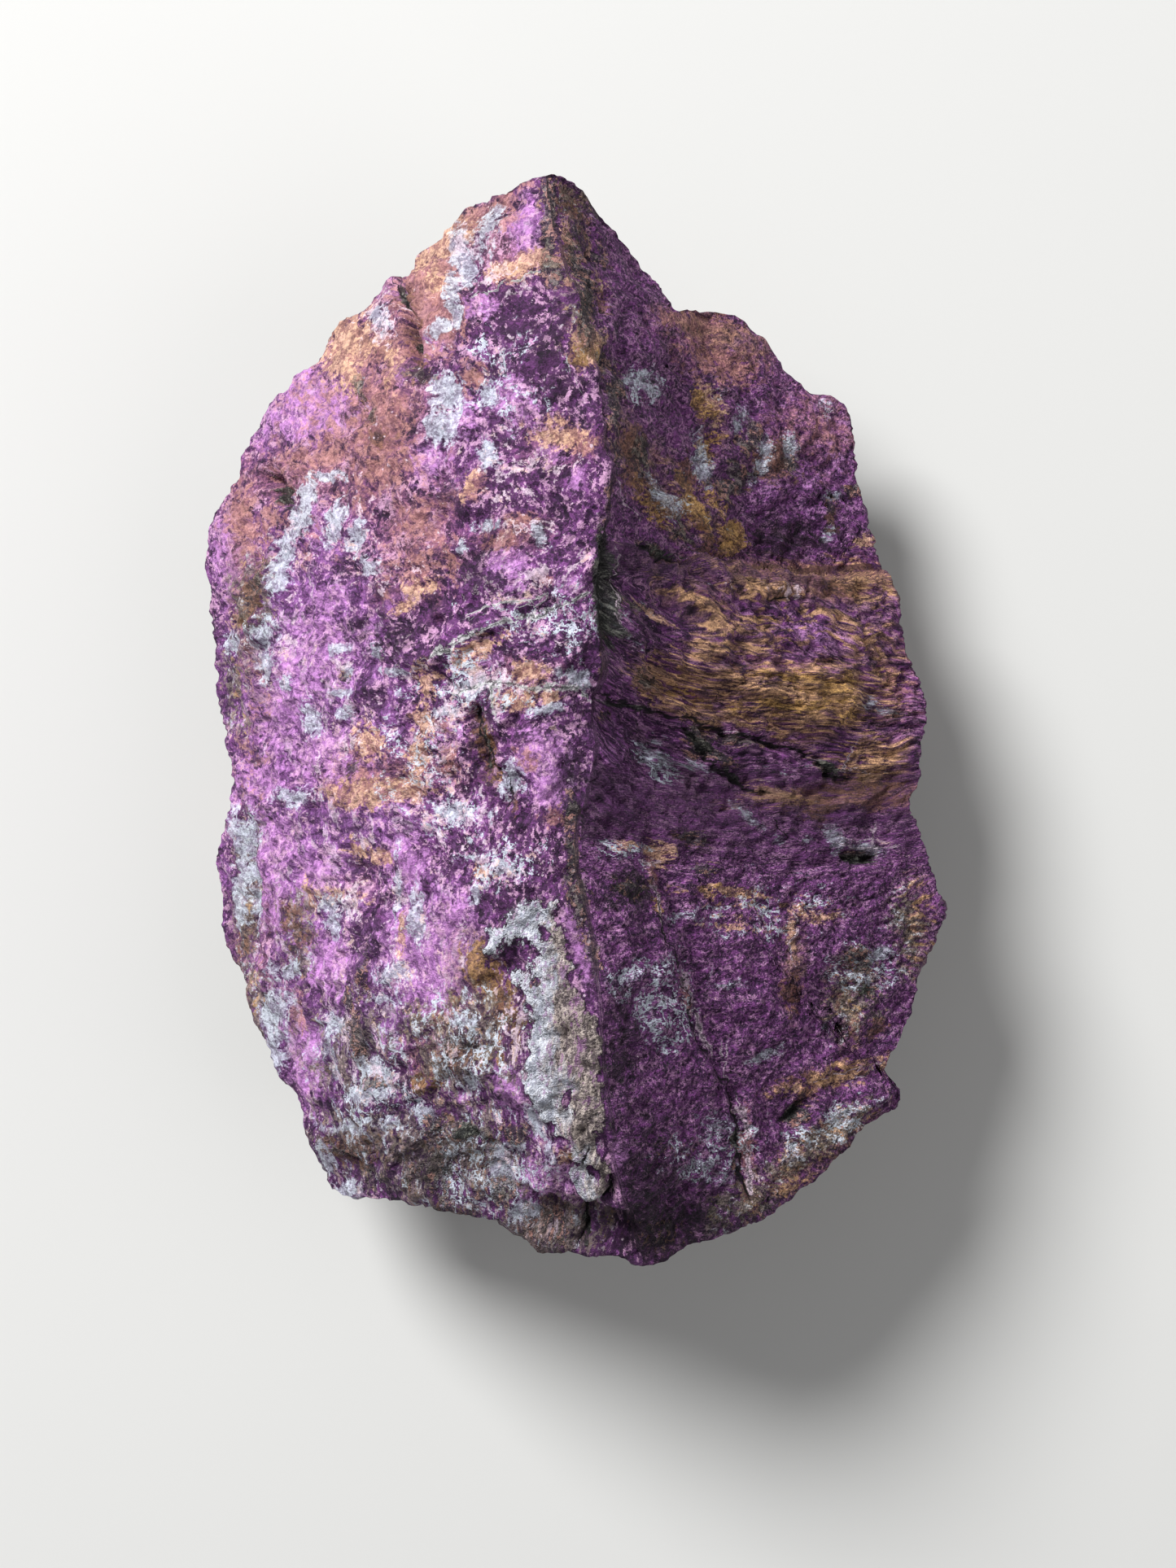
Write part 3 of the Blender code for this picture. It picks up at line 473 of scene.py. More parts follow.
# lines on the face, as points x, y
lineWork = {
    # half is half the width; step is how far one side is raised
    "cracks": [
        {"path": [(3.4, 1.3), (4.2, 1), (5.3, 0.8), (6.2, 0.7), (6.9, 0.4), (7.4, 0.1), (8, -0.05),
                  (9.5, -0.2), (10.5, -0.2), (11, -0.4)], "depth": 0.6, "half": 0.13, "step": 0.35},
        {"path": [(6, 0.2), (6.5, -0.2), (7, -0.7), (7.6, -1.3), (8.1, -1.8), (8.6, -2.2), (9.3, -2.6),
                  (10.1, -3), (10.5, -3.3)], "depth": 0.6, "half": 0.13, "step": 0.4},
        {"path": [(11.2, -4.8), (11.6, -5.2), (11.9, -5.6)], "depth": 0.4, "half": 0.1},
        {"path": [(11, -0.5), (12, -0.7), (13, -0.9), (13.6, -1.2), (14.3, -1.7), (14.9, -2.1),
                  (15.3, -2.4), (16, -2.4)], "depth": 0.4, "half": 0.11, "step": 0.3},
        {"path": [(15.3, -6.8), (15.8, -6.95), (16.4, -6.95), (16.9, -6.8)], "depth": 0.6, "half": 0.2},
        {"path": [(4.7, -9.4), (5, -10.3), (5.2, -11.3), (5.7, -12), (6, -13), (6.3, -13.6)],
         "depth": 0.4, "half": 0.11},
        {"path": [(6.3, -13.6), (6.6, -14.6), (7, -15.3), (7.3, -16), (7.6, -16.9), (7.9, -17.8),
                  (8.5, -18.5), (8.9, -19.6)], "depth": 0.5, "half": 0.15},
        {"path": [(8.9, -19.6), (9.1, -20.4), (9.25, -21.5), (9.2, -22.3), (9.4, -23), (9.4, -24),
                  (9.5, -25.2)], "depth": 0.6, "half": 0.18},
        {"path": [(-9.8, 24.4), (-9.7, 24), (-9.5, 23.5)], "depth": 0.6, "half": 0.13},
        {"path": [(-9, 23.6), (-8.9, 22.6), (-8.85, 22), (-8.6, 21), (-8.5, 20.3)],
         "depth": 1, "half": 0.24},
        {"path": [(-17, 14.3), (-16.8, 13.6), (-16.6, 13.2), (-16.2, 12.7)], "depth": 0.9, "half": 0.2},
        {"path": [(-5.1, 0.9), (-4.9, -0.3), (-4.5, -1.3), (-4.1, -2.4)], "depth": 0.6, "half": 0.15},
        {"path": [(1.2, -25.1), (1.7, -24.9), (2.1, -24.3), (2.2, -23.7)], "depth": 0.8, "half": 0.13},
        {"path": [(0.4, -27.6), (0.7, -26.8), (0.7, -26), (0.6, -25.2)], "depth": 0.8, "half": 0.15},
        {"path": [(-3.3, -3), (-3.15, -3.5), (-3.3, -4.1)], "depth": 0.4, "half": 0.08},
        {"path": [(4, 9.75), (4.6, 9.6), (5.2, 9.3), (6, 9.1)], "depth": 0.5, "half": 0.1},
        {"path": [(2.75, 8.2), (2.7, 7.7), (2.8, 7.2)], "depth": 0.3, "half": 0.07},
        {"path": [(8.2, 2.1), (8.4, 1.6), (8.6, 1.2), (9, 0.8)], "depth": 0.2, "half": 0.06},
        {"path": [(11, 7.2), (11.8, 7.3), (12.2, 7.25)], "depth": 0.4, "half": 0.12},
        {"path": [(9, 6.5), (10, 6.4), (10.5, 6.3)], "depth": 0.4, "half": 0.1},
        {"path": [(12, -21.3), (12.3, -21.15), (12.6, -20.8), (12.9, -20.3)], "depth": 0.4, "half": 0.2},
        {"path": [(1.95, 20.6), (1.9, 19.5), (1.95, 18), (1.9, 16.5), (2, 15), (2.35, 14), (2.6, 13.1)],
         "depth": 0.3, "half": 0.06},
        {"path": [(2.2, 1.65), (2.8, 1.5), (3.4, 1.3)], "depth": 0.4, "half": 0.12},
        {"path": [(0.55, -23), (0.7, -22.6), (0.85, -22.2)], "depth": 0.4, "half": 0.13},
    ],
    "veins": [
        {"path": [(-7.2, 3.9), (-6.3, 4.3), (-5, 4.85), (-4, 5.3), (-3, 5.6), (-2, 5.8), (-1.2, 6.1),
                  (-0.2, 6.6), (0.7, 7)], "half": 0.2},
        {"path": [(-5.2, 6), (-4.2, 6.3), (-3.2, 6.5), (-2, 6.6), (-1.2, 6.9)], "half": 0.1},
        {"path": [(-5.9, 1.9), (-5, 2.3), (-4.2, 2.45), (-3.2, 2.3), (-2, 2.15), (-1, 2.1), (0.2, 2),
                  (1.2, 1.5)], "half": 0.22},
        {"path": [(-4.1, 2.3), (-4.1, 1.6), (-4, 0.8)], "half": 0.18},
        {"path": [(-1.5, 24.25), (-2.6, 23.9), (-3.3, 23.6), (-4.3, 23.15), (-5, 22.9)], "half": 0.1},
        {"path": [(-0.35, 19.5), (-0.25, 18.9), (0, 18.4)], "half": 0.09},
        {"path": [(0, 19.6), (0.25, 18.6), (0.4, 17.8), (0.7, 17)], "half": 0.05},
        {"path": [(2.6, 12.9), (3.1, 12.3), (3.6, 11.5), (4, 11)], "half": 0.06},
        {"path": [(16.2, -0.5), (16, -1.1), (15.7, -1.6), (15.4, -2.1), (16.3, -2.05), (17, -2.2)],
         "half": 0.09},
        {"path": [(8, -0.1), (9, -0.2), (10, -0.15)], "half": 0.05},
        {"path": [(15, -5.8), (16, -6), (17, -6)], "half": 0.07},
        {"path": [(17.2, -5), (17.1, -5.8), (17, -6.6)], "half": 0.08},
        {"path": [(14.9, -6.3), (15.6, -6.3), (16.4, -6.4), (17.2, -6.4), (18.2, -6.3)], "half": 0.1},
        {"path": [(12.25, -10), (12.3, -10.6), (12.2, -11.3), (12.1, -12.4)], "half": 0.08},
        {"path": [(8.9, -16.3), (8.8, -17.2), (8.9, -18.2), (8.7, -19.2)], "half": 0.04},
        {"path": [(6.5, -13.2), (6.85, -14.2), (7.25, -15.1), (7.7, -16.1), (8.1, -17.3)], "half": 0.24},
        {"path": [(4.4, -8.2), (4.65, -9.2), (4.95, -10.3)], "half": 0.18},
        {"path": [(9.5, -20.6), (9.75, -21.7), (9.8, -22.8), (9.85, -23.8), (9.75, -25)], "half": 0.2},
        {"path": [(13, -19.2), (14.5, -18.8), (16, -18.6), (17.3, -18.3)], "half": 0.05},
        {"path": [(15.6, -19.4), (16.4, -19), (17, -18.6)], "half": 0.06},
        {"path": [(2.75, 9.3), (2.7, 8), (2.75, 6.6), (2.6, 5.4)], "half": 0.06},
        {"path": [(1.35, -25.1), (1.45, -25.6), (1.6, -25.9)], "half": 0.07},
        {"path": [(7.4, -15.3), (7.7, -16.3), (8.1, -17.6)], "half": 0.05},
    ],
    # a line down the crust, bluish to its left and brownish to its right
    "crustMiddle": [(0.8, -25), (0, -22), (-1, -18), (-1.5, -15), (-1.5, -12), (-1.4, -9)],
    # holes in the crust: x, y, half length, half width, turn in degrees, strength
    "crustHoles": [
        (-2.6, -12, 1, 0.8, 20, 1), (-1.9, -13.3, 0.4, 0.3, 0, 1), (0, -19.6, 0.25, 0.6, 0, 1),
        (-0.9, -21, 0.3, 0.4, 0, 1), (1.1, -23.2, 0.3, 0.4, 0, 1), (-1.4, -10.6, 0.25, 0.3, 0, 1),
    ],
    # the pale crust plate on the ridge, a closed outline
    "crust": [
        (-4.3, -10.5), (-3.3, -10.2), (-2.9, -9.4), (-2.2, -8.8), (-1.2, -8.6), (-0.7, -9.6),
        (-0.4, -10.6), (0, -11.5), (0.1, -13), (0.6, -14.4), (1.1, -15.4), (1.6, -16.6), (1.9, -18),
        (1.9, -20), (1.6, -21.4), (1.5, -22.6), (2.1, -23.2), (2.2, -24), (1.9, -24.7), (1.1, -25),
        (0.4, -24.8), (0.2, -23.4), (0, -22), (-0.8, -21.2), (-1.4, -20.2), (-1.9, -19.2), (-2.1, -18),
        (-2.3, -16.6), (-2.4, -15.2), (-2.7, -14), (-3.3, -13.2), (-3.6, -12.2), (-4.2, -11.4),
    ],
}


def pathDistance(x, y, path, closed=False):
    # distance to the nearest piece of a path, with a sign for its side
    best = np.full(x.shape, 1e9)
    side = np.ones(x.shape)
    ends = path[1:] + path[:1] if closed else path[1:]
    for (ax, ay), (bx, by) in zip(path, ends):
        ux, uy = bx - ax, by - ay
        along = np.clip(((x - ax) * ux + (y - ay) * uy) / (ux * ux + uy * uy), 0.0, 1.0)
        dx, dy = x - ax - along * ux, y - ay - along * uy
        distance = np.hypot(dx, dy)
        nearer = distance < best
        best = np.where(nearer, distance, best)
        side = np.where(nearer, np.sign(ux * dy - uy * dx + 1e-9), side)
    return best, side


def insideDistance(x, y, outline):
    # distance to a closed outline, positive inside, by counting how often it is crossed
    distance, _ = pathDistance(x, y, outline, closed=True)
    inside = np.zeros(x.shape, bool)
    for (ax, ay), (bx, by) in zip(outline, outline[1:] + outline[:1]):
        if ay != by:
            crosses = ((ay > y) != (by > y)) & (x < (bx - ax) * (y - ay) / (by - ay) + ax)
            inside ^= crosses
    return np.where(inside, distance, -distance)


def sawLayers(place, thickness, ragged, seed):
    # overlapping layers: height falls slowly up the stone and rises steeply at each lower edge
    t = place[:, 1] / thickness + ragged * askewLumps(place * [1.0, 0.5, 1.0], 1.6, seed)
    t = t - np.floor(t)
    return np.where(t < 0.12, softStep(t / 0.12), 1.0 - (t - 0.12) / 0.88) - 0.5


def lineFields(x, y, lines, broken):
    # every line with its distance and side; and the nearest line's distance in units of its own half width,
    # times lineEdge, with its side
    near = np.full(x.shape, relief["lineFar"])
    nearSide = np.ones(x.shape)
    measured = []
    for line in lines:
        distance, side = pathDistance(x, y, line["path"])
        scaled = distance * relief["lineEdge"] / line["half"] / broken
        nearer = scaled < near
        near = np.where(nearer, scaled, near)
        nearSide = np.where(nearer, side, nearSide)
        measured.append((line, distance, side))
    return measured, near, nearSide


def broadRelief(points, worked, wall, wiggle):
    # the lumps shared with the solid, drawn in and made stronger on the wall, then the broad dents and rises
    x, y, _ = points.T
    push = sum(height * lumps(points * mm, size * mm, relief["lumpSeed"] + i)
               for i, (size, height) in enumerate(relief["lumps"]))
    push = push * (1.0 + relief["wallGain"] * wall) - stoneForm["wallInset"] * wall
    for strength, far in ellipseFall(x + 2.0 * wiggle, y - 1.5 * wiggle, relief["dents"]):
        push += strength * (1.0 - softStep(far - 0.5)) * worked
    return push


def grainRelief(points, place, worked, wall, rightSide, fan, calm):
    # a hackly grain everywhere, fibres along the flow on the face, and creases and layers on its right
    push = np.zeros(len(points))
    for i, (size, leftHeight, rightHeight) in enumerate(relief["hackle"]):
        height = (leftHeight + (rightHeight - leftHeight) * rightSide) * (1.0 + 0.8 * wall)
        push += height * calm * hackle(points + 40.0 * i, size, 50 + 10 * i, 2)
    size, height = relief["leftFibre"]
    push += height * (1.0 - rightSide) * worked * calm * hackle(place, size, 90, 2)
    size, height = relief["rightFibre"]
    push += height * (0.3 + 0.7 * fan) * rightSide * worked * calm * hackle(place, size, 120, 2)
    size, depth, half = relief["creases"]
    for i in range(2):
        crease = askewLumps(place * [1.0, 1.0 + 0.4 * i, 1.0], size, 150 + i)
        push -= depth * np.exp(-(crease / half) ** 2) * (0.35 + 0.65 * fan) * rightSide * worked * calm
    for i, (thickness, ragged, height) in enumerate(relief["layers"]):
        push += height * fan * rightSide * worked * calm * sawLayers(place, thickness, ragged, 140 + 5 * i)
    return push


def crustField(x, y, wiggle):
    # distance inside the crust's outline, cut back to half the distance from each hole's edge
    crust = insideDistance(x + 2.4 * wiggle, y + 2.0 * wiggle, lineWork["crust"])
    for _, far in ellipseFall(x + wiggle, y - wiggle, lineWork["crustHoles"]):
        crust = np.minimum(crust, (far - 1.0) * 0.5)
    return crust


def carve(points, normals, down, rim):
    # every point moves along its normal by the sum of the reliefs, which fade out below the rim;
    # returns the moved points, how much each belongs to the worked face, and the fields that colours use
    x, y, z = points.T
    worked = 1.0 - softStep(down * 5.0)
    wall = softStep(down * 4.0)
    rightSide = softStep((x - ridgeX(y)) / 0.5 + 0.5)
    fan = 0.3 + 0.7 * np.exp(-((y - relief["fanMiddle"]) / relief["fanHalf"]) ** 2)
    place = grainPlace(points, worked)
    calm = 1.0 - relief["rimCalm"] * rim * (1.0 - softStep(down * 6.0))
    calm *= 1.0 - relief["ridgeCalm"] * np.exp(-((x - ridgeX(y)) / relief["ridgeHalf"]) ** 2) * worked
    wiggle = sum(height * askewLumps(points, size, 200 + i)
                 for i, (size, height) in enumerate(relief["wiggle"]))

    push = broadRelief(points, worked, wall, wiggle)
    push += grainRelief(points, place, worked, wall, rightSide, fan, calm)
    broken = np.maximum(0.72 + 0.5 * askewLumps(points, 1.1, 202), 0.28)
    cracks, crackNear, crackSide = lineFields(x + wiggle, y + 0.8 * wiggle, lineWork["cracks"], broken)
    for crack, distance, side in cracks:
        flank = crack["half"] + relief["crackFlank"]
        push -= crack["depth"] * broken * np.exp(-(distance / flank) ** 2) * worked
        raised = np.where(side > 0, 1.0, -relief["stepDrop"])
        push += crack.get("step", 0.0) * raised * np.exp(-distance / relief["stepReach"]) * worked
    veins, veinNear, veinSide = lineFields(x + wiggle, y - 0.8 * wiggle, lineWork["veins"], broken)
    for vein, distance, _ in veins:
        swell = np.exp(-(distance / (vein["half"] + relief["veinFlank"])) ** 2)
        groove = np.exp(-(distance / relief["veinGroove"]) ** 2)
        push += relief["veinRise"] * (swell - groove) * worked
    crust = crustField(x, y, wiggle)
    swell = 0.8 + 0.5 * askewLumps(points, 0.8, 205)
    push += relief["crustRise"] * softStep(crust / 0.3 + 0.5) * swell * worked
    push += relief["crustRough"] * softStep(crust / 0.2 + 0.5) * hackle(points, 0.55, 230, 2) * worked

    # the back has only dents, so that it still lies flat
    backDents = -0.5 * np.maximum(hackle(points, 3.0, 300) - 0.15, 0.0) * softStep((down - 1.0) * 12.0)
    push = np.where(down >= 1.0, backDents, push * softStep(z / 2.0))
    moved = points + normals * push[:, None]
    moved[:, 2] = np.maximum(moved[:, 2], 0.0)

    ledge = np.interp(x, *np.array(relief["ledgeLine"]).T)
    middle = np.array(lineWork["crustMiddle"]).T
    fields = {
        "fan": fan * rightSide * softStep((ledge - y) / 0.6 + 0.5),
        "rightSide": rightSide * worked,
        "grainPlace": place,
        "crackLine": crackNear * crackSide,
        "crackNear": (1.0 - softStep((crackNear - 0.5) / 0.4)) * worked,
        "veinLine": veinNear * veinSide,
        "veinNear": (1.0 - softStep((veinNear - 0.5) / 0.4)) * worked,
        "crust": crust * worked - 2.0 * (1.0 - worked),
        "crustAcross": x - np.interp(y, middle[1], middle[0]),
    }
    return moved, worked, fields


# stains and zones of painted shade, listed one by one: x, y, half length, half width, turn in degrees,
# strength
stainsAndShade = {
    "salmon": [
        (-12, 17, 3.6, 6, 0, 0.52), (-16, 12, 3, 3, 0, 0.45), (-8.6, 10.6, 2.2, 3.4, 0, 0.4),
        (-10.6, -2.6, 2.6, 1.6, 0, 0.45), (-18.6, 2, 1.2, 7, 0, 0.45), (-7.6, 22.6, 1.4, 2.1, 0, 1.5),
        (-4.8, 27.6, 1.8, 0.7, 30, 1.2), (-9.2, 23.7, 1, 0.9, 40, 1.1), (-10.5, 20.8, 1.3, 1.4, 30, 1),
        (-10.3, 16.4, 1.4, 2.6, 10, 1.15), (-14.2, 15, 2.6, 1, 10, 0.85), (-9.9, 13.8, 1.5, 1, 0, 0.85),
        (-18.5, 12, 0.7, 1.8, 10, 1), (-16.9, 12, 0.9, 0.7, 0, 0.9), (-3.6, 27.3, 0.8, 0.5, 0, 0.9),
        (-3.6, 24.2, 1, 0.5, 0, 0.9), (-8.1, 11, 0.8, 1.3, 0, 0.8), (-8.4, 8.6, 1.2, 0.8, 0, 0.9),
        (-3.4, 9.9, 1, 0.5, 0, 0.95), (-2.6, 10.8, 0.7, 0.4, 0, 0.8), (7.6, 22.5, 1.8, 0.7, 5, 1.15),
        (8.4, 20.7, 1.7, 1.2, -20, 0.85), (13.8, 16.2, 1.6, 1.6, 0, 0.3), (16.4, 8.7, 1.4, 0.8, 0, 0.95),
        (12.6, 8.9, 2.2, 0.5, 0, 0.75), (-5.3, 18.5, 0.5, 0.8, 0, 0.95),
        (-4.9, 12.8, 0.4, 0.8, -20, 0.9), (-2.3, -1.4, 0.6, 0.7, 0, 0.7), (-0.8, -4.8, 0.7, 0.5, 0, 0.9),
        (-15.3, -15.8, 0.4, 0.9, 0, 0.9), (-6.6, -1.8, 0.8, 0.8, 0, 0.85), (-7, 0.4, 0.9, 0.6, 0, 0.8),
        (9.7, -22.5, 0.4, 1.6, 5, 0.8), (4.6, -7.4, 0.4, 1.2, 10, 0.85), (18.2, 3.2, 1, 0.4, -15, 0.9),
        (13.3, -3.6, 1.4, 0.4, -10, 0.8), (-6.6, -15.8, 0.6, 1, 0, 0.9), (-7.6, -17.8, 0.8, 1, 0, 0.8),
        (-10, -23.3, 0.4, 0.5, 0, 0.9), (0.2, 15, 1.2, 0.6, -15, 0.9), (-6.7, 8.8, 0.3, 1.1, 15, 0.95),
        (-1.4, 7.5, 0.5, 0.4, 0, 0.8), (17.4, -3.5, 1.7, 0.5, 0, 0.8), (-18.2, -14.4, 0.7, 1, 25, 0.8),
        (6.4, -14.2, 0.3, 0.9, 15, 0.8), (-3.8, -16.3, 0.3, 0.6, 0, 0.9),
    ],
    "tan": [
        (-12.5, 21.6, 1.2, 1.6, -10, 1.4), (-12.2, 19.3, 0.6, 0.7, 0, 1),
        (-7.2, 26.1, 1.6, 0.7, 40, 1.3), (-5.2, 26.6, 0.5, 0.8, 0, 0.9),
        (-2.6, 24.6, 1.5, 0.55, 12, 1.3), (0.8, 20, 0.9, 0.9, 0, 1.05),
        (-0.4, 15.3, 1.5, 0.6, -10, 0.95), (-5.2, 12.7, 0.3, 0.9, -20, 0.9),
        (-4.8, 4.2, 1.4, 0.35, 30, 1.05), (-2.3, 2.9, 1, 0.5, 0, 1.05), (-3, 1.5, 0.9, 0.45, 0, 1.15),
        (-1, 1.5, 0.45, 0.3, 0, 1.2), (-7.9, 2.6, 0.6, 0.7, 0, 1), (-11, -0.7, 0.9, 0.8, -10, 1.15),
        (-10.5, -3.4, 2.4, 0.5, 4, 1.35), (-8.2, -1.8, 0.5, 1.3, -20, 1.1), (-8, 0.4, 0.6, 0.8, 0, 0.9),
        (-11, -6.6, 1.2, 0.5, -20, 0.9), (-14.6, -9, 0.3, 0.9, 25, 1), (-9.1, -10.6, 0.2, 1.2, 0, 1),
        (-19, -10.4, 0.4, 1.4, 5, 0.95), (-13, -9.2, 1.4, 0.4, 0, 0.85), (-18.6, 6.2, 0.8, 0.4, 0, 0.95),
        (7.4, 6.7, 0.8, 0.2, -28, 1.1), (11, 7.7, 1.1, 0.3, -4, 1.4), (9.6, 8, 0.8, 0.2, -10, 1.2),
        (12, 2.2, 1.2, 0.5, -3, 0.95), (14.8, 1.4, 0.9, 0.7, 0, 0.95), (15.5, 2.7, 0.5, 0.4, 0, 1.25),
        (9.3, 0.6, 1.4, 0.25, -8, 0.95), (5.1, 3, 0.6, 0.35, 0, 0.9), (17, -2.4, 0.5, 0.3, 0, 1),
        (11.6, -3.5, 1.2, 0.3, -18, 0.95), (9, 10.9, 0.6, 0.5, 0, 1), (6.6, 12.4, 0.4, 0.9, 30, 0.8),
        (8, 17.9, 0.3, 1, 22, 1), (16.4, 10.6, 0.5, 0.3, 0, 0.85), (0.2, 28.7, 0.9, 0.35, -10, 1),
        (1.2, 26.6, 0.5, 0.4, -20, 0.9), (-0.3, 26, 0.25, 0.8, 5, 0.9), (0, 23.6, 0.35, 0.5, 0, 0.9),
        (1.8, 23.8, 0.3, 0.9, 0, 0.8), (12.25, -11, 0.2, 1.2, 0, 1), (13.6, -10.1, 0.8, 0.25, 0, 1.05),
        (8.8, -8.6, 1.4, 0.16, -6, 0.95), (9, -10.6, 1.8, 0.14, -4, 0.8), (15.3, -14.6, 0.4, 1, 10, 0.9),
        (15.8, -16.2, 0.3, 0.7, 0, 0.9), (14.6, -19, 2.2, 0.3, 13, 0.95),
        (4.9, -6.6, 0.6, 0.4, -45, 1.1), (3, -6.2, 0.6, 0.2, 0, 0.9), (14.6, -21.4, 1.4, 0.4, 22, 0.8),
        (-5.3, -23.4, 0.3, 0.8, 15, 1.05), (-6.9, 24.2, 0.5, 0.8, 0, 1), (-4.6, -7.6, 0.5, 0.4, 0, 1),
        (-8, 7.3, 0.8, 0.5, 20, 0.9), (0, -22.4, 0.5, 0.4, 0, 0.9), (9.7, -25.2, 0.5, 0.6, 0, 1),
        (12, -24, 0.8, 0.4, 20, 0.8), (-9, 6.4, 0.6, 0.3, 35, 0.9), (4.6, 6, 1.2, 0.16, -32, 0.9),
        (16.1, -1.2, 0.3, 0.8, -20, 0.9), (-9.6, 19.6, 0.5, 1.2, 10, 0.8),
    ],
    # tan threads in the fan of fibres on the right
    "fibre": [
        (6.8, 6.9, 2, 0.5, -25, 0.72), (9.6, 5.6, 2.2, 0.6, 5, 0.9), (10.4, 7.5, 1.8, 0.45, -6, 0.95),
        (12, 8.9, 5.6, 0.45, -2, 0.55), (16, 8.4, 2, 1, -15, 0.75), (9, 4.4, 3.6, 0.5, 6, 0.8),
        (12.6, 1.8, 3.8, 1.5, -2, 1), (14.9, 2.2, 1.8, 1.1, -5, 0.85), (4.6, 2.5, 1.3, 0.7, -20, 0.85),
        (6.6, 1, 1.8, 0.6, -28, 0.95), (14.6, 6.2, 2.2, 0.5, -10, 0.75), (16.6, 5, 1.8, 0.6, -15, 0.8),
        (13.6, -3.6, 3.8, 0.5, 3, 0.6), (17, -1.4, 1.4, 1.2, 0, 0.85), (8, 2.5, 2.6, 0.5, -8, 0.95),
        (15.6, -0.8, 1.6, 0.9, 0, 0.45), (12.8, 4.6, 4.5, 3.6, 0, 0.28), (11.6, -9.8, 3.6, 0.7, 0, 0.4),
        (14.8, -18.9, 2.8, 0.5, 14, 0.75), (14.4, -22, 2.6, 0.7, 28, 0.7),
        (8.6, -8.8, 2.2, 0.3, -6, 0.7), (6.6, 12.2, 0.6, 1.7, 30, 0.65), (8.2, 12, 0.4, 1, 35, 0.6),
        (17.6, 2.8, 1.2, 1.6, 0, 0.6), (11.8, -25, 2.4, 0.5, 24, 0.7), (19.2, -10.6, 0.8, 2, 0, 0.6),
    ],
    "ochre": [
        (12, 2.8, 1.8, 0.35, -5, 1), (14, 2.3, 1.4, 0.4, 0, 1.1), (11.2, 1.2, 1.6, 0.3, -5, 0.95),
        (6.2, 1.9, 1.4, 0.3, -18, 0.9), (6.8, 11.8, 0.4, 0.9, 30, 1), (7.9, 15.3, 0.4, 0.5, 0, 1.15),
        (3.9, 13.2, 0.3, 0.6, 15, 1), (4.8, 12, 0.5, 1, 32, 1.15), (7, 11.4, 0.4, 1.1, 35, 1.2),
        (6.3, 13.2, 0.3, 0.8, 30, 1.1), (8.1, 12.9, 0.4, 0.8, 35, 1.05), (7.5, 18, 0.3, 0.8, 22, 1.1),
        (8.3, 16, 0.4, 0.6, 10, 0.75), (8.9, 10.4, 0.75, 0.6, 20, 2.2),
        (-4.35, -0.9, 0.16, 1.2, 14, 1.3), (-4.6, -12.4, 0.6, 1.2, 20, 1.15),
        (-4, -13.8, 0.9, 1.6, 25, 0.95), (-3.2, -14.8, 0.6, 1, 25, 1.1), (-2.9, -16.1, 0.35, 1, 5, 1.1),
        (-6.1, -14.3, 0.4, 0.4, 0, 1.1), (-8, -19, 0.55, 0.5, 0, 1.35), (-4.6, -17.2, 1.5, 0.4, 0, 0.85),
        (0.9, 19.6, 0.8, 0.5, 0, 1), (13.6, 1.6, 0.5, 0.5, 0, 0.9), (15.3, 1, 0.6, 0.5, 0, 1),
        (-18.5, 6.2, 0.6, 0.3, 0, 0.9), (10.8, 6, 1, 0.15, 5, 0.95), (-5.1, -11.8, 0.3, 0.4, 0, 1.1),
        (15.3, 2.9, 0.5, 0.35, 0, 1.2), (-8.2, -15.4, 0.3, 0.8, 0, 0.9),
        (0.2, -22.4, 0.4, 0.25, 0, 0.95), (-1.3, -20.6, 0.4, 0.3, 0, 0.9),
        (12.8, 2.6, 1.6, 0.25, 0, 0.95), (4.6, -9.4, 0.2, 0.6, 15, 0.9), (-8.5, -24.6, 0.25, 0.4, 0, 1),
        (7.4, -8.3, 0.6, 0.15, -5, 0.7),
    ],
    # brown ground under the tan fibres and in the valley at the upper right
    "umber": [
        (9.6, 2.2, 4.6, 1.5, -6, 1), (14.4, 1.8, 2.6, 1.8, 0, 0.95), (12.6, 8, 5, 1.1, -4, 0.95),
        (6.6, 6.8, 1.8, 0.7, -25, 0.9), (4.8, 2.5, 1.4, 0.8, -20, 1.05), (6.4, 1, 1.8, 0.6, -26, 1),
        (17.2, -1.8, 1.8, 1.4, 0, 0.85), (13.8, -3.6, 3.6, 0.6, 3, 0.6), (17.4, 4.4, 1.6, 2, 0, 0.7),
        (5.4, 12.6, 1.2, 3, 28, 0.6), (8, 11.2, 0.8, 1.2, 30, 0.6), (8, 16.8, 0.7, 1.8, 10, 0.55),
        (11, 15, 1.2, 0.7, -10, 0.7), (9, 22, 2.4, 1, -15, 0.8), (3.4, 15, 0.7, 1.6, 10, 0.9),
        (14.6, -19, 2.6, 0.5, 14, 0.8), (13.6, -23, 3.4, 0.8, 30, 0.9), (15.4, -14.8, 0.8, 2, 5, 0.85),
        (19, -10.6, 0.9, 2.2, 0, 0.8), (12.3, -12.4, 0.5, 2.6, 0, 0.85), (9, 4.6, 3.2, 0.6, 6, 0.7),
        (-4.6, -13.8, 1.2, 2.6, 20, 1), (-4.75, -0.8, 0.5, 1.8, 14, 1), (-18.4, 6, 0.8, 3.4, 5, 0.8),
        (-19.2, -12, 0.6, 2.6, 0, 0.8), (-6.4, -17, 2, 1.2, 0, 0.8), (0.2, 23.4, 0.8, 3, 5, 0.4),
    ],
    "brown": [
        (3.6, 14.2, 0.7, 1.3, 15, 1.15), (5, 12.4, 0.4, 1.2, 28, 1.05), (11.3, 15, 0.9, 1.1, 0, 1.1),
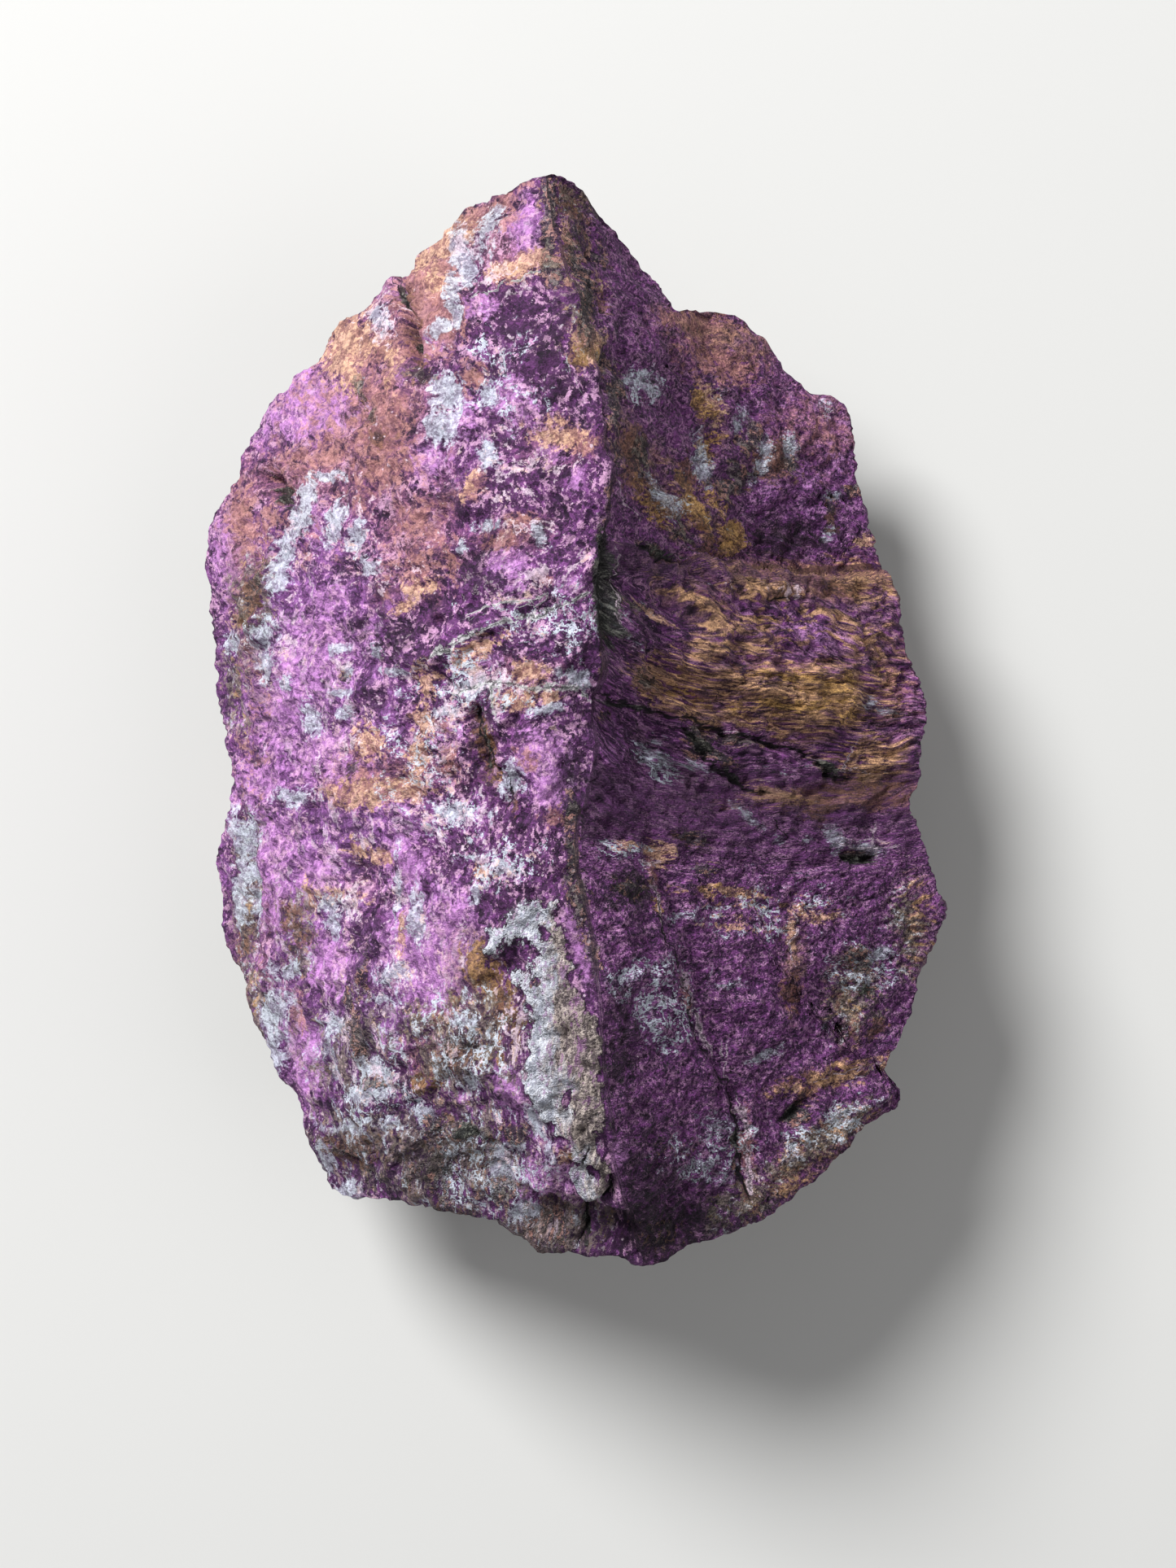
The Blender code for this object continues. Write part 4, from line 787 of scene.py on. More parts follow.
        (10.2, 15.4, 0.5, 0.4, 0, 0.9), (6.4, 13.8, 0.45, 1, -10, 1), (7.3, 10.6, 0.4, 1.2, 35, 1.1),
        (7.3, 9.7, 0.5, 0.4, 0, 1.05), (3.4, 15.6, 0.6, 0.5, 0, 0.9), (-4.75, -0.6, 0.3, 1.6, 15, 1.1),
        (-8.5, 21.8, 0.45, 1.8, 10, 1.2), (14.7, 11.9, 0.4, 0.6, 0, 0.9),
        (12.3, -14.5, 0.5, 0.9, 0, 0.95), (13.1, -19.9, 0.4, 0.45, 0, 1.3),
        (16.8, -16.3, 0.6, 0.5, 0, 1.1), (-17.8, 7.6, 0.6, 1.3, 0, 0.9), (14, -4.5, 1, 0.4, 10, 0.85),
        (17, -2.9, 2.2, 0.2, 0, 0.9), (4.2, 2.4, 0.6, 0.4, 0, 1), (-3.1, -3.4, 0.3, 0.8, 0, 0.8),
        (-10.2, 15.4, 0.8, 0.6, 0, 0.7), (-15.4, -11, 0.6, 1.6, 8, 0.9), (-19, -12, 0.5, 0.8, 0, 0.85),
        (-12.2, -23, 1.6, 0.9, 10, 0.9), (6.2, 13.6, 0.4, 0.5, 0, 1.1), (0.5, 27.6, 0.7, 0.5, -20, 1),
        (0, 25.2, 0.4, 0.7, 0, 0.9), (-3.6, -14.9, 0.4, 0.8, 0, 0.9), (-5.9, -17.4, 1, 0.6, 0, 0.8),
        (4, 14.6, 0.5, 0.9, 10, 1.2), (12.2, -19, 1.2, 0.3, 20, 0.7), (5.4, 9.2, 0.6, 0.3, -20, 0.8),
        (5.6, 11.6, 0.5, 1.2, 25, 0.8), (2, 22.6, 0.4, 0.8, 0, 0.6), (10.9, 5.2, 0.8, 0.25, 15, 0.8),
        (8.7, 3.2, 0.8, 0.3, 0, 0.7), (16.2, -13.8, 0.6, 0.6, 0, 0.8), (14.9, 7.9, 0.9, 0.4, 0, 1),
        (4.6, 2.1, 0.5, 0.3, -20, 1),
    ],
    "grey": [
        (7.5, 14.3, 0.4, 0.8, 10, 1.7), (10.7, 14.8, 0.35, 0.4, 0, 1.6), (9.3, 16.8, 0.25, 0.35, 0, 1.5),
        (5.3, 12.3, 0.3, 0.8, 25, 1.4), (4.7, 13.2, 0.2, 0.6, 20, 1.2), (-4.6, 26.6, 0.5, 1.4, -8, 1.25),
        (-5.8, 25.4, 0.5, 1.6, 10, 1.2), (-6, 23.2, 0.3, 1.4, 5, 1.2), (-6.7, 21.4, 0.6, 0.3, 30, 1.15),
        (-6.6, 17.9, 0.6, 1, 10, 1.3), (-6.9, 15.9, 0.7, 0.8, 20, 1.3), (-4.4, 17.6, 0.35, 0.7, 10, 1.1),
        (-4.4, 14.3, 0.5, 0.6, 0, 1.05), (-15.3, 11.6, 1.6, 0.45, 60, 1.25),
        (-16.4, 9.2, 0.45, 1.5, -8, 1.25), (-13, 11.4, 1, 0.5, 60, 1.05),
        (-11.6, 10, 0.4, 0.9, -10, 0.85), (-10.8, 8.7, 0.5, 0.5, 0, 1.1), (-17.3, 5.2, 0.8, 0.8, 0, 1),
        (-17.2, 3.6, 0.7, 0.9, 0, 1.05), (-19.5, 4.8, 0.5, 0.5, 0, 1), (-14.5, 0.6, 0.5, 0.8, 0, 1.05),
        (-15.7, 2.6, 0.35, 0.35, 0, 1.05), (-15.4, -3.6, 1.3, 0.4, 0, 1.05),
        (-18.9, -6, 0.7, 1.2, 0, 1.2), (-18.8, -7.8, 0.6, 0.7, 0, 1.15),
        (-19.3, -9.4, 0.4, 1.6, 0, 1.05), (-18.4, -9.6, 0.3, 1.8, 5, 0.9),
        (-13.3, -9.4, 1.1, 0.5, 0, 1.05), (-13.3, -10.6, 0.4, 0.7, 0, 1.15),
        (-9.4, -8.4, 0.18, 1.6, 0, 1.15), (-15.7, -13.2, 0.5, 0.6, 0, 1.15),
        (-16.9, -13.4, 0.4, 0.6, 0, 1.05), (-16.6, -15.4, 0.7, 0.8, 0, 1.1),
        (-16.5, -17.6, 0.5, 1.2, 10, 1.1), (-8.2, -9.9, 0.4, 1.2, 0, 1.15),
        (-9.6, -13.1, 0.8, 0.5, 0, 1.1), (-10, -14.3, 0.8, 0.35, 0, 1.05), (-12.9, -16, 0.9, 0.5, 0, 1),
        (-13.4, -17.6, 0.6, 0.8, -30, 0.9), (-11, -19.6, 1.5, 0.45, 0, 1.05),
        (-10.6, -18.4, 1.3, 0.35, -42, 1.1), (-13.2, -18.9, 0.5, 0.7, 0, 0.9),
        (-8.4, -20.6, 0.5, 0.4, 0, 1.1), (-10, -21.2, 1.2, 0.3, 0, 0.8),
        (-12.6, -21.9, 1.6, 0.3, 5, 0.95), (-14.2, -23.8, 0.4, 0.8, 15, 1),
        (-12.9, -25.8, 0.8, 0.5, 0, 1.1), (-6.4, -4.4, 0.7, 0.5, 0, 1.1), (-4.3, -4.5, 0.25, 0.5, 0, 1),
        (-3.6, -7.2, 0.6, 0.5, 0, 0.95), (-4.9, -8.7, 0.3, 0.5, 0, 1.1), (-6.9, 0.8, 0.8, 0.3, 15, 1),
        (-4.9, 2.2, 0.9, 0.45, 0, 1.2), (0.3, 2.5, 0.8, 0.4, -25, 1.1), (-1, 0.9, 0.8, 0.25, 10, 1),
        (-3, -2.8, 0.45, 0.9, 0, 1), (-1.6, 10, 0.3, 0.6, 25, 1.1), (-5.8, 9.4, 0.3, 0.3, 0, 1.1),
        (-4.3, 10.6, 0.7, 0.3, 10, 0.9), (4.2, 18.4, 1, 0.45, 0, 1.3), (9.6, 17.5, 0.4, 0.5, -40, 1.1),
        (10.8, 15.8, 0.3, 0.5, 30, 1.6), (12.2, 15.7, 0.3, 0.7, 20, 1.6), (7.6, 15, 0.35, 1, 10, 1.5),
        (10.3, 14.1, 0.3, 0.4, 0, 1.1), (14.8, 13.3, 0.5, 0.25, 0, 1.6),
        (14.5, 11.1, 0.25, 0.35, 0, 1.05), (5.5, 11.8, 0.3, 0.8, 25, 1), (14.4, 18.2, 0.4, 0.4, 0, 0.85),
        (17.6, 1.1, 0.7, 0.25, -8, 1.15), (5.2, -1.4, 1, 0.5, -25, 1), (7, -1.9, 1.2, 0.2, -20, 1.05),
        (9.7, -4.5, 0.8, 0.2, -40, 1.4), (14.6, -5.9, 0.4, 0.7, 30, 1.9),
        (16.6, -6.4, 0.8, 0.25, 0, 1.6), (13, -5.9, 0.25, 0.25, 0, 1.1), (11.5, -5.8, 0.3, 0.2, 0, 1),
        (6, -9.95, 0.9, 0.16, -3, 1), (5.3, -15.4, 0.7, 0.6, -10, 0.4), (9, -13.7, 1, 0.16, 3, 1),
        (17.2, -12.3, 0.55, 0.35, 0, 1.7), (16.6, -13.8, 0.5, 0.4, 0, 1.1),
        (10.8, -17.6, 0.9, 0.28, 15, 1.4), (14.4, -16.3, 0.6, 0.2, -20, 0.95),
        (8.3, -21.3, 1, 0.4, 5, 1.05), (7.2, -23.3, 1.4, 0.18, 12, 1.05), (8.3, -24.2, 0.4, 0.3, 0, 1.1),
        (15.2, -21, 0.8, 0.3, 20, 1.05), (12.2, -23.4, 0.4, 0.5, 0, 0.9),
        (2.6, -13.3, 0.6, 0.35, 0, 0.9), (-3.9, -23.8, 0.5, 0.9, 20, 1.2),
        (-3.1, -22.5, 0.6, 0.4, 0, 0.95), (-2.5, -25.7, 0.6, 0.4, 0, 1.1),
        (-5.4, -18.8, 0.6, 0.7, 0, 0.85), (-5.6, -15.4, 0.8, 0.4, 0, 0.95),
        (16.6, 1.6, 0.6, 0.3, 0, 1.3), (16.9, -20.4, 0.7, 0.35, 30, 0.8), (8.2, 18.5, 0.3, 0.3, 0, 0.9),
        (-9.4, 2.9, 0.8, 0.2, -10, 0.9), (-12.7, 4.2, 0.45, 0.25, 0, 1.25),
        (-12.3, 3.2, 0.3, 0.3, 0, 1.3), (-12.5, 2, 0.6, 0.2, 0, 1), (-12.4, 0.9, 0.3, 0.3, 0, 1.1),
        (-10.4, 4.2, 0.3, 0.4, 0, 1), (-14.9, 13, 0.6, 0.4, 0, 1.1), (-13.6, 13.8, 0.9, 0.35, 0, 1),
        (-11.3, 18.9, 0.2, 0.4, 0, 1), (-10.7, 22.7, 0.6, 0.7, 0, 1), (0.6, -22.1, 0.7, 0.4, 0, 1),
        (-1.7, -20.6, 0.6, 0.7, 0, 0.9), (-1, -22.6, 0.5, 0.8, 0, 0.85), (11.9, -9.9, 0.2, 0.2, 0, 0.6),
        (4.3, -14.9, 0.5, 0.4, 0, 0.5),
    ],
    # dark grey patches; those under the gash near (7.1, -0.6) and on the broken end's facet near (5.2,
    # -22.5) and (4.9, -27) are painted shade
    "dark": [
        (9.1, 13.5, 0.8, 0.4, 0, 1.25), (9.8, 16, 0.3, 0.5, 0, 1.1), (4.2, 14.6, 0.4, 0.9, 10, 1.1),
        (2.4, 17, 0.35, 1.8, 0, 1.05), (6, 10.6, 0.4, 0.8, 25, 0.95), (-1.2, 28.2, 0.5, 1.2, 0, 1.25),
        (-1.1, 26.3, 0.45, 1.5, 0, 1.25), (-1.1, 24.2, 0.45, 0.9, 5, 1.25),
        (0.5, 24.6, 0.5, 1.1, 15, 1.2), (0.9, 22.6, 0.5, 1.3, 5, 1.2), (1, 20.8, 0.45, 0.8, 0, 1.15),
        (2, 19.2, 0.2, 1.2, 0, 0.8), (2.6, 18.2, 0.4, 1, 0, 1), (2.6, 16, 0.35, 1, 0, 0.9),
        (2.7, 14.2, 0.3, 0.8, 10, 0.9), (2.2, 12, 0.2, 1, 0, 0.8), (1.7, 9.9, 0.3, 0.6, 0, 0.85),
        (1.8, 5.2, 0.3, 0.5, 0, 0.95), (3.6, 6.5, 0.7, 0.25, -25, 1), (4.7, 9.5, 0.6, 0.2, -15, 1.1),
        (10.2, 16.4, 0.3, 0.6, 15, 1.05), (12.3, 14.9, 0.5, 0.7, 0, 0.95),
        (9.5, 14.3, 0.9, 0.5, -10, 1.1), (15.8, 13.6, 0.4, 0.3, 0, 1), (14.6, 12.4, 0.3, 0.6, 0, 0.9),
        (4, 2.6, 0.6, 0.4, 0, 1.05), (2.4, 0.6, 0.5, 0.3, 0, 0.95), (7.1, -0.6, 0.7, 0.45, -40, 1.4),
        (8.4, -1.5, 0.9, 0.3, -40, 1), (9.6, -0.6, 1.6, 0.3, -3, 0.95),
        (14.6, -1.8, 0.8, 0.25, -40, 1.15), (18.3, 0.9, 0.5, 0.2, 0, 1), (16.1, -6.9, 0.8, 0.28, 0, 1.5),
        (6.6, -5.9, 0.8, 0.4, -10, 0.9), (7.2, -7.5, 0.5, 0.3, 0, 0.95), (-0.1, -4.4, 0.4, 1.3, 3, 1.1),
        (0.15, -6.8, 0.35, 1.5, 0, 1.05), (0.6, -9.2, 0.3, 1.6, 8, 1), (1.1, -11.6, 0.3, 1.4, 8, 0.9),
        (1.6, 3.6, 0.15, 1, 0, 0.8), (3.1, -8.5, 1.3, 0.5, 0, 0.8), (15.6, -12.2, 0.7, 0.4, 0, 1),
        (16.4, -12.6, 0.4, 0.4, 0, 1.15), (16.6, -14.4, 0.4, 0.4, 0, 1.1),
        (12.6, -20.9, 0.5, 0.35, 45, 1.3), (5.2, -22.5, 1.5, 0.6, 0, 0.45), (4.9, -27, 1.6, 0.9, 0, 0.5),
        (10.8, -25.7, 1, 0.3, 20, 1), (-1.4, -26.8, 1.6, 1.1, 0, 0.6), (-3.2, -21.6, 0.6, 0.4, 0, 1.1),
        (-5.7, -21.7, 0.9, 0.4, 0, 1.1), (-7.4, -23.6, 1.2, 1.4, 0, 0.7),
        (-7.8, -21.2, 0.8, 0.6, 0, 0.8), (-11.5, -16.6, 0.5, 1, 0, 1), (-11.9, -14.6, 0.5, 0.6, 0, 0.95),
        (-11, -13, 0.25, 1, 0, 0.9), (-10.7, -19, 0.5, 0.25, 0, 1.1), (-12.4, -23.2, 1.4, 0.7, 0, 0.65),
        (-12.5, 2.7, 0.3, 0.3, 0, 0.95), (-11.6, 18.3, 0.25, 0.8, 20, 0.95),
        (-10.8, 16.8, 0.4, 0.5, 0, 0.95), (-8, 18.9, 0.8, 0.5, 0, 0.85),
        (-1.9, -13.3, 0.4, 0.3, 0, 0.95), (-3.9, -24.8, 0.8, 0.5, 0, 0.9), (-17.4, 8.4, 0.3, 1, 0, 0.8),
        (-6.4, -26, 1.2, 0.4, 0, 0.9), (0.6, 26.6, 0.8, 0.5, 20, 0.85), (1.8, 25.6, 0.6, 0.9, -20, 0.7),
        (-12, -2.2, 0.3, 0.3, 0, 0.95), (8.6, 12.9, 0.6, 0.3, -40, 0.85), (7.9, 13.6, 0.5, 0.3, 0, 0.8),
        (8.9, -23.6, 0.4, 0.8, 0, 0.8),
    ],
    # solid dark places; the one under the gash's overhang, at (7, -0.65), is a painted shadow
    "black": [
        (1.95, 7.2, 0.62, 2.5, 3, 1.35), (16, -6.95, 0.85, 0.26, 0, 1.2), (7, -0.65, 0.8, 0.2, -40, 1.1),
        (8.8, -2.2, 1, 0.13, -32, 1), (-4.6, -1, 0.14, 1.3, 14, 0.9), (9.2, -22.2, 0.14, 0.8, 2, 1.1),
        (-16.7, 13.5, 0.3, 0.9, 25, 1.1), (12.5, -21, 0.35, 0.3, 45, 1.1),
        (-8.7, 22, 0.16, 1.6, 8, 0.95), (0.6, -27, 0.2, 0.9, 0, 1.1), (1.7, -24.8, 0.6, 0.18, 35, 1.1),
        (3.4, 1.15, 1.2, 0.16, -10, 1), (-0.1, -4.6, 0.14, 1.2, 3, 0.6), (0.2, -7.2, 0.12, 1.2, 3, 0.6),
        (0.8, -9.9, 0.1, 1.2, 8, 0.6), (-9.6, 23.9, 0.16, 0.6, 8, 1), (5, 9.4, 1, 0.16, -12, 1),
        (-5.7, -21.7, 0.7, 0.3, 0, 0.9), (14.7, -1.9, 0.8, 0.14, -35, 1),
        (16.6, -14.4, 0.3, 0.4, 0, 0.95),
    ],
    # deep purple patches; those at the broken end, near (3.6, -27.6), (6.8, -26.6) and (4.2, -24), are
    # painted shade on a facet
    "deep": [
        (-4.4, 17, 2.8, 2.6, 0, 0.45), (-2.4, 11.6, 2, 2.6, 0, 0.45), (0.2, -3.2, 0.5, 2, 0, 0.85),
        (0, -7.4, 0.5, 1.8, 5, 0.85), (-3.4, 21.4, 1.6, 1.2, 0, 0.5), (-17.4, 2.6, 0.6, 1.2, 10, 0.8),
        (-15.2, 6, 0.9, 0.6, 0, 0.75), (-11.9, 8.6, 0.6, 1, 0, 0.85), (-13.9, -4.6, 1.2, 0.4, 0, 0.8),
        (-18.4, -1.8, 0.5, 1, 0, 0.75), (-16, -9.6, 0.4, 1.4, 5, 0.8), (-7.8, -8.2, 0.4, 1.2, 0, 0.8),
        (-10.2, -9, 0.4, 1.2, 0, 0.85), (-5.4, -13.4, 0.5, 1, 10, 0.85),
        (-12.4, -19.8, 0.8, 0.4, 0, 0.9), (-9.4, -22.6, 0.9, 0.6, 0, 0.95),
        (-6.8, 4, 1.2, 0.4, 30, 0.85), (-2.4, 21.5, 2.6, 1.8, 0, 0.85), (-1.2, 18.4, 1.6, 2, 0, 0.9),
        (-3, 15.5, 1.2, 1.4, 0, 0.75), (-4.6, 12, 1.6, 0.9, 0, 0.95), (-5.2, 8.8, 1.2, 1.2, 0, 0.8),
        (-7, 6.4, 1.2, 1, 0, 0.9), (-9, 5, 1.5, 1, 0, 0.95), (-3.2, 4.1, 0.9, 0.4, 0, 0.95),
        (-6.2, 2.5, 0.7, 0.7, 0, 1.05), (0.3, 4.2, 0.9, 1.2, 0, 0.95), (-0.9, 11.6, 1.2, 1, 0, 0.8),
        (-11.7, -7, 0.7, 0.8, 0, 1), (-10.8, -11.2, 0.95, 0.9, 0, 1.2), (-11.6, -13, 0.7, 0.8, 0, 0.9),
        (-4, -2.4, 1.2, 1, 0, 0.8), (-2.6, -5.2, 1.2, 0.7, 0, 0.8), (-3.4, -8.8, 1.4, 0.7, 0, 0.95),
        (-1.5, -7.3, 0.9, 0.7, 0, 0.85), (-8.9, -19.4, 0.3, 0.6, 0, 1.1), (-11, -20.8, 1.4, 0.5, 0, 1),
        (-10.6, -24.7, 1.4, 0.7, 0, 1.15), (-13, -21, 1, 0.4, 0, 0.9), (-8.6, -15.4, 1.6, 0.6, 0, 0.95),
        (-4.4, 21.6, 1.8, 2, 0, 0.8), (-3.6, 19.4, 2.2, 1.6, 0, 0.7), (3.6, -27.6, 1.4, 1.4, 0, 1.2),
        (6.8, -26.6, 1.6, 1, 20, 1), (-1, 13, 2, 1.2, 0, 0.7), (-3, 6.9, 1.8, 0.3, 12, 0.8),
        (12.4, 10.8, 2.2, 1, 0, 0.9), (7.1, 5.7, 0.9, 0.5, -10, 1.05), (9.6, -1.4, 1.6, 0.7, -15, 0.9),
        (3.2, -8.6, 1.6, 0.8, 0, 0.95), (4.2, -24, 1.6, 2.6, 0, 0.95), (2.8, -16.8, 0.8, 2.6, 0, 0.8),
        (-16.3, 16.8, 0.9, 0.7, 0, 0.75), (-17.4, -11, 0.7, 1, 0, 0.7), (-11.5, 17.6, 0.6, 1.2, 15, 0.8),
        (0.9, -13.2, 0.5, 1, 0, 0.8), (4.5, -1.6, 1.2, 0.5, -30, 0.7), (4.2, 4.8, 1.5, 1, 0, 0.7),
        (-11.4, 5.4, 1, 0.8, 0, 0.8), (-13.8, 2.4, 0.8, 0.6, 30, 0.7), (-10.6, 1.9, 0.9, 0.9, 0, 0.85),
        (-16.9, -0.8, 0.8, 0.5, 0, 0.65), (-12.9, -5.4, 1, 0.5, 0, 0.8), (-9, -5.2, 0.9, 0.7, 0, 0.8),
        (-15.4, -7.2, 0.5, 0.8, 0, 0.7), (-12.2, -9.6, 0.6, 0.6, 0, 0.7), (-6, -6.6, 0.9, 0.8, 0, 0.9),
        (-4.9, -9.6, 0.9, 0.6, 0, 0.8), (-2.2, -0.2, 0.9, 0.6, 0, 0.8), (-5.9, -3, 0.5, 0.5, 0, 0.8),
        (-1, -6.2, 0.6, 0.8, 0, 0.8), (-12.6, 12.8, 0.6, 0.6, 0, 0.7), (-10, 7, 0.8, 0.6, 0, 0.8),
        (-14.4, -14.8, 0.8, 0.6, 0, 0.8), (-8.6, 16.4, 0.6, 1.2, 0, 0.8), (-6.6, 12.4, 0.8, 0.8, 0, 0.8),
    ],
    "lilac": [
        (-2.6, 26.5, 0.7, 1.2, 0, 1.35), (-9, 18.9, 0.6, 0.5, 0, 1.2), (-15, 18.9, 1.4, 0.9, 20, 1.2),
        (-14.3, 17.3, 2.2, 1, 5, 1.15), (-16.8, 17.4, 1.2, 0.8, 40, 0.95),
        (-14.3, 11.2, 0.4, 0.8, 0, 1.3), (-13.3, 7, 0.9, 0.6, 10, 1.4), (-14.2, 4.2, 2.6, 1.8, 0, 1),
        (-16.4, 1, 2.2, 1.8, 0, 1.05), (-13.6, -1.4, 2.2, 1.2, 0, 1.05), (-18, -3.2, 1.6, 1.4, 0, 1),
        (-17, -6.4, 1.6, 1.4, 0, 1.05), (-14.3, -7.8, 1.2, 0.9, 0, 1.15),
        (-16.8, -9.4, 1.2, 1.4, 0, 0.95), (-13.6, -12.6, 1.4, 1.6, 0, 1.15),
        (-15, -18.2, 0.9, 2, 8, 1.4), (-7.6, -12, 2, 2.4, 0, 1.3), (-6.2, -10.4, 1, 1.6, 0, 1.1),
        (-8.9, -7, 1.2, 1.4, 0, 1), (-6.6, -0.2, 0.7, 0.5, 0, 1.15), (-1.5, -1.3, 1.2, 1.2, 0, 1.05),
        (-1, -3.3, 0.7, 0.6, 0, 1.35), (0.2, -10.6, 0.5, 0.9, 20, 1.1),
        (0.6, -12.2, 0.45, 1.2, 10, 0.95), (-3.2, -19, 0.9, 1, 0, 1.15),
        (-1.6, -23.6, 1.3, 1.3, 0, 0.95), (-2.5, -24.5, 0.5, 0.8, 0, 1), (-4.9, -4.4, 0.3, 0.6, 0, 1.2),
        (0.1, 7.4, 0.6, 0.4, 0, 1.15), (-2.6, 7.6, 0.6, 0.5, 0, 1.2), (-3.2, 8.8, 1.2, 0.4, 0, 1),
        (-3.4, 17.4, 0.9, 1, 0, 1), (-2.4, 16.2, 0.6, 0.8, 0, 0.9), (-1.2, 14.3, 0.7, 0.4, 0, 1.05),
        (0.3, 13.1, 0.4, 0.6, 0, 1.15), (-4.9, 22.4, 0.8, 0.6, 0, 0.95), (-7.2, 20.2, 0.9, 0.4, 30, 1.1),
        (-5.6, 16.2, 0.7, 1, 0, 0.9), (-7.4, 13.8, 0.9, 1, 0, 0.9), (13.2, 5, 1.4, 0.9, 0, 0.85),
        (2.5, -22.8, 0.4, 1.2, 0, 0.8), (-19.6, 9.6, 0.8, 2.4, 0, 0.9), (-4.2, 3.4, 0.6, 0.3, 10, 1),
        (-6.6, -16.4, 0.4, 0.8, 0, 1.05), (-11.8, -3.6, 1, 0.5, 0, 0.7), (-10.2, 24.1, 0.6, 0.5, 0, 1),
        (-2.7, 28.5, 0.5, 0.4, 0, 0.9), (-9.6, -16.8, 1, 0.5, 0, 0.8), (-9.2, -3.9, 0.4, 0.6, 0, 1.1),
        (-6, -19.6, 0.5, 0.6, 0, 0.8), (-0.2, -24, 0.3, 0.9, 0, 0.9),
    ],
    # soft zones without edges of their own: paler lilac ground, a rosy tint, and painted shade
    "pale": [
        (-15, 2.5, 4.6, 7, 0, 0.95), (-15.5, -8.5, 4, 7, 5, 1), (-12, -4.5, 4, 4, 0, 0.9),
        (-8, -11.6, 2.6, 3.4, 0, 1.15), (-14.6, 17.8, 3.2, 2, 10, 1), (-14.4, -17.4, 2, 3.4, 10, 1),
        (-1.2, -2.2, 1.4, 1.6, 0, 0.6), (-2.8, 8.2, 2.2, 0.6, 10, 0.5), (-2.6, 26.6, 0.9, 1.4, 0, 0.9),
        (-9.5, -15.2, 1.6, 1.4, 0, 0.7), (-3.2, -18.8, 1, 1.2, 0, 0.8), (13, 5, 2.4, 1.2, -5, 0.5),
        (2.6, -1, 1.6, 2.6, 0, 0.45), (13.5, 15.5, 3, 4, 20, 0.5), (-6.5, 15, 2, 3, 0, 0.5),
        (-7.6, 20.4, 1, 0.8, 0, 0.7),
    ],
    "rose": [
        (-11, 17, 3.4, 4.6, 0, 1.1), (-15, 14.2, 3.4, 1.8, 10, 1.05), (-8.5, 10.4, 2, 3, 0, 1),
        (-18.5, 10.4, 1, 3.6, 5, 1.1), (-8.2, 24, 2.4, 2.6, 30, 1.15), (-4, 25.8, 1.6, 1.8, 0, 0.8),
        (-10.6, -2.6, 3.4, 1.2, 4, 0.9), (-6.8, -1, 1.2, 1.8, 10, 0.5), (-12, -8.6, 2.4, 1.4, 0, 0.4),
        (-17.6, -12, 1.6, 4, 10, 0.6), (14, 17, 2.4, 2, 0, 0.8), (8.2, 21.6, 2.4, 1.6, -10, 1),
        (14, 8.5, 4, 0.8, -3, 1), (17.2, -3.2, 2.2, 0.8, 0, 0.8), (18.2, 2.4, 1.2, 2.4, 0, 0.7),
        (-2.4, 2.4, 1.8, 1, 0, 0.8), (-3, 10, 1.6, 0.8, 10, 0.8), (-0.5, 14.8, 1.8, 1.2, 0, 0.6),
        (-7.2, -17, 1.6, 2, 0, 0.6), (12.6, 2, 3.6, 1.6, -3, 0.7),
    ],
    "shade": [
        (5, -26.4, 3.6, 2, 10, 0.95), (3.2, -23, 1.6, 3, 0, 0.65), (-7, -23.4, 3, 1.8, 0, 0.45),
        (0.1, -1.8, 1.1, 3.6, 6, 0.6), (0.3, -8.4, 0.7, 3.6, -4, 0.4), (-1.4, -27, 2.4, 1.2, 0, 0.45),
        (3, -8.6, 1.8, 0.8, 0, 0.7), (5, -1, 2.6, 0.8, -32, 0.6), (-12.4, -22.8, 2, 1.2, 0, 0.4),
        (-9.6, 4.6, 1.6, 1.2, 0, 0.6), (2.6, -17, 0.8, 4, 0, 0.6), (-0.6, 19, 2.6, 3.6, 0, 0.35),
        (12.6, 11, 3, 1.2, 0, 0.6), (8.6, -19, 4, 2, 10, 0.3), (-5, 8, 2, 1.6, 0, 0.4),
        (0.6, 24, 0.7, 3, 10, 0.6),
    ],
    # zones of chalky crumbs
    "chalk": [
        (-9.3, -9.4, 0.4, 3, 0, 0.95), (-7.9, -10.6, 0.35, 2.4, 0, 0.95),
        (-6.8, -12.6, 0.35, 1.8, 0, 0.85), (-12.2, -11.6, 0.35, 2, 5, 0.8),
        (-13.6, -13.8, 0.4, 2, 8, 0.8), (-5.6, -10.8, 0.3, 1.4, 0, 0.9), (-10.9, -6.2, 1, 0.8, 0, 0.9),
        (-14, -2.2, 1, 0.6, 0, 0.8), (-8.2, -3.4, 1.6, 1.2, 0, 0.8), (-2.6, 13.6, 3, 1.6, 0, 0.6),
        (-4, 17.4, 3.4, 3, 0, 0.3), (-1.4, 8, 3.2, 0.9, 14, 0.85), (-4.8, 2.4, 2.4, 0.9, 5, 0.95),
        (-3.9, 1, 0.6, 1.2, 0, 0.8), (-6.6, 0.6, 1.6, 1, 15, 0.85), (-7, -2, 1.6, 2.4, 0, 0.75),
        (-0.2, 2, 1.2, 1, 0, 0.8), (-1.4, 5, 2.4, 1, 20, 0.6), (-6, -5, 1.8, 1.6, 0, 0.75),
        (-3.4, -7.4, 2, 1, 0, 0.85), (-12.4, 10.8, 2.4, 1.8, 0, 0.5), (-15.6, 10, 1.2, 2.6, 10, 0.6),
        (-15.6, 4.6, 1.6, 1.4, 0, 0.75), (-12, -0.4, 1.6, 1.2, 0, 0.75),
        (-10.6, 22.6, 1.2, 1.4, 0, 0.85), (-13.2, 3, 3, 3, 0, 0.5), (-12.6, -9.4, 2.4, 1.4, 0, 0.75),
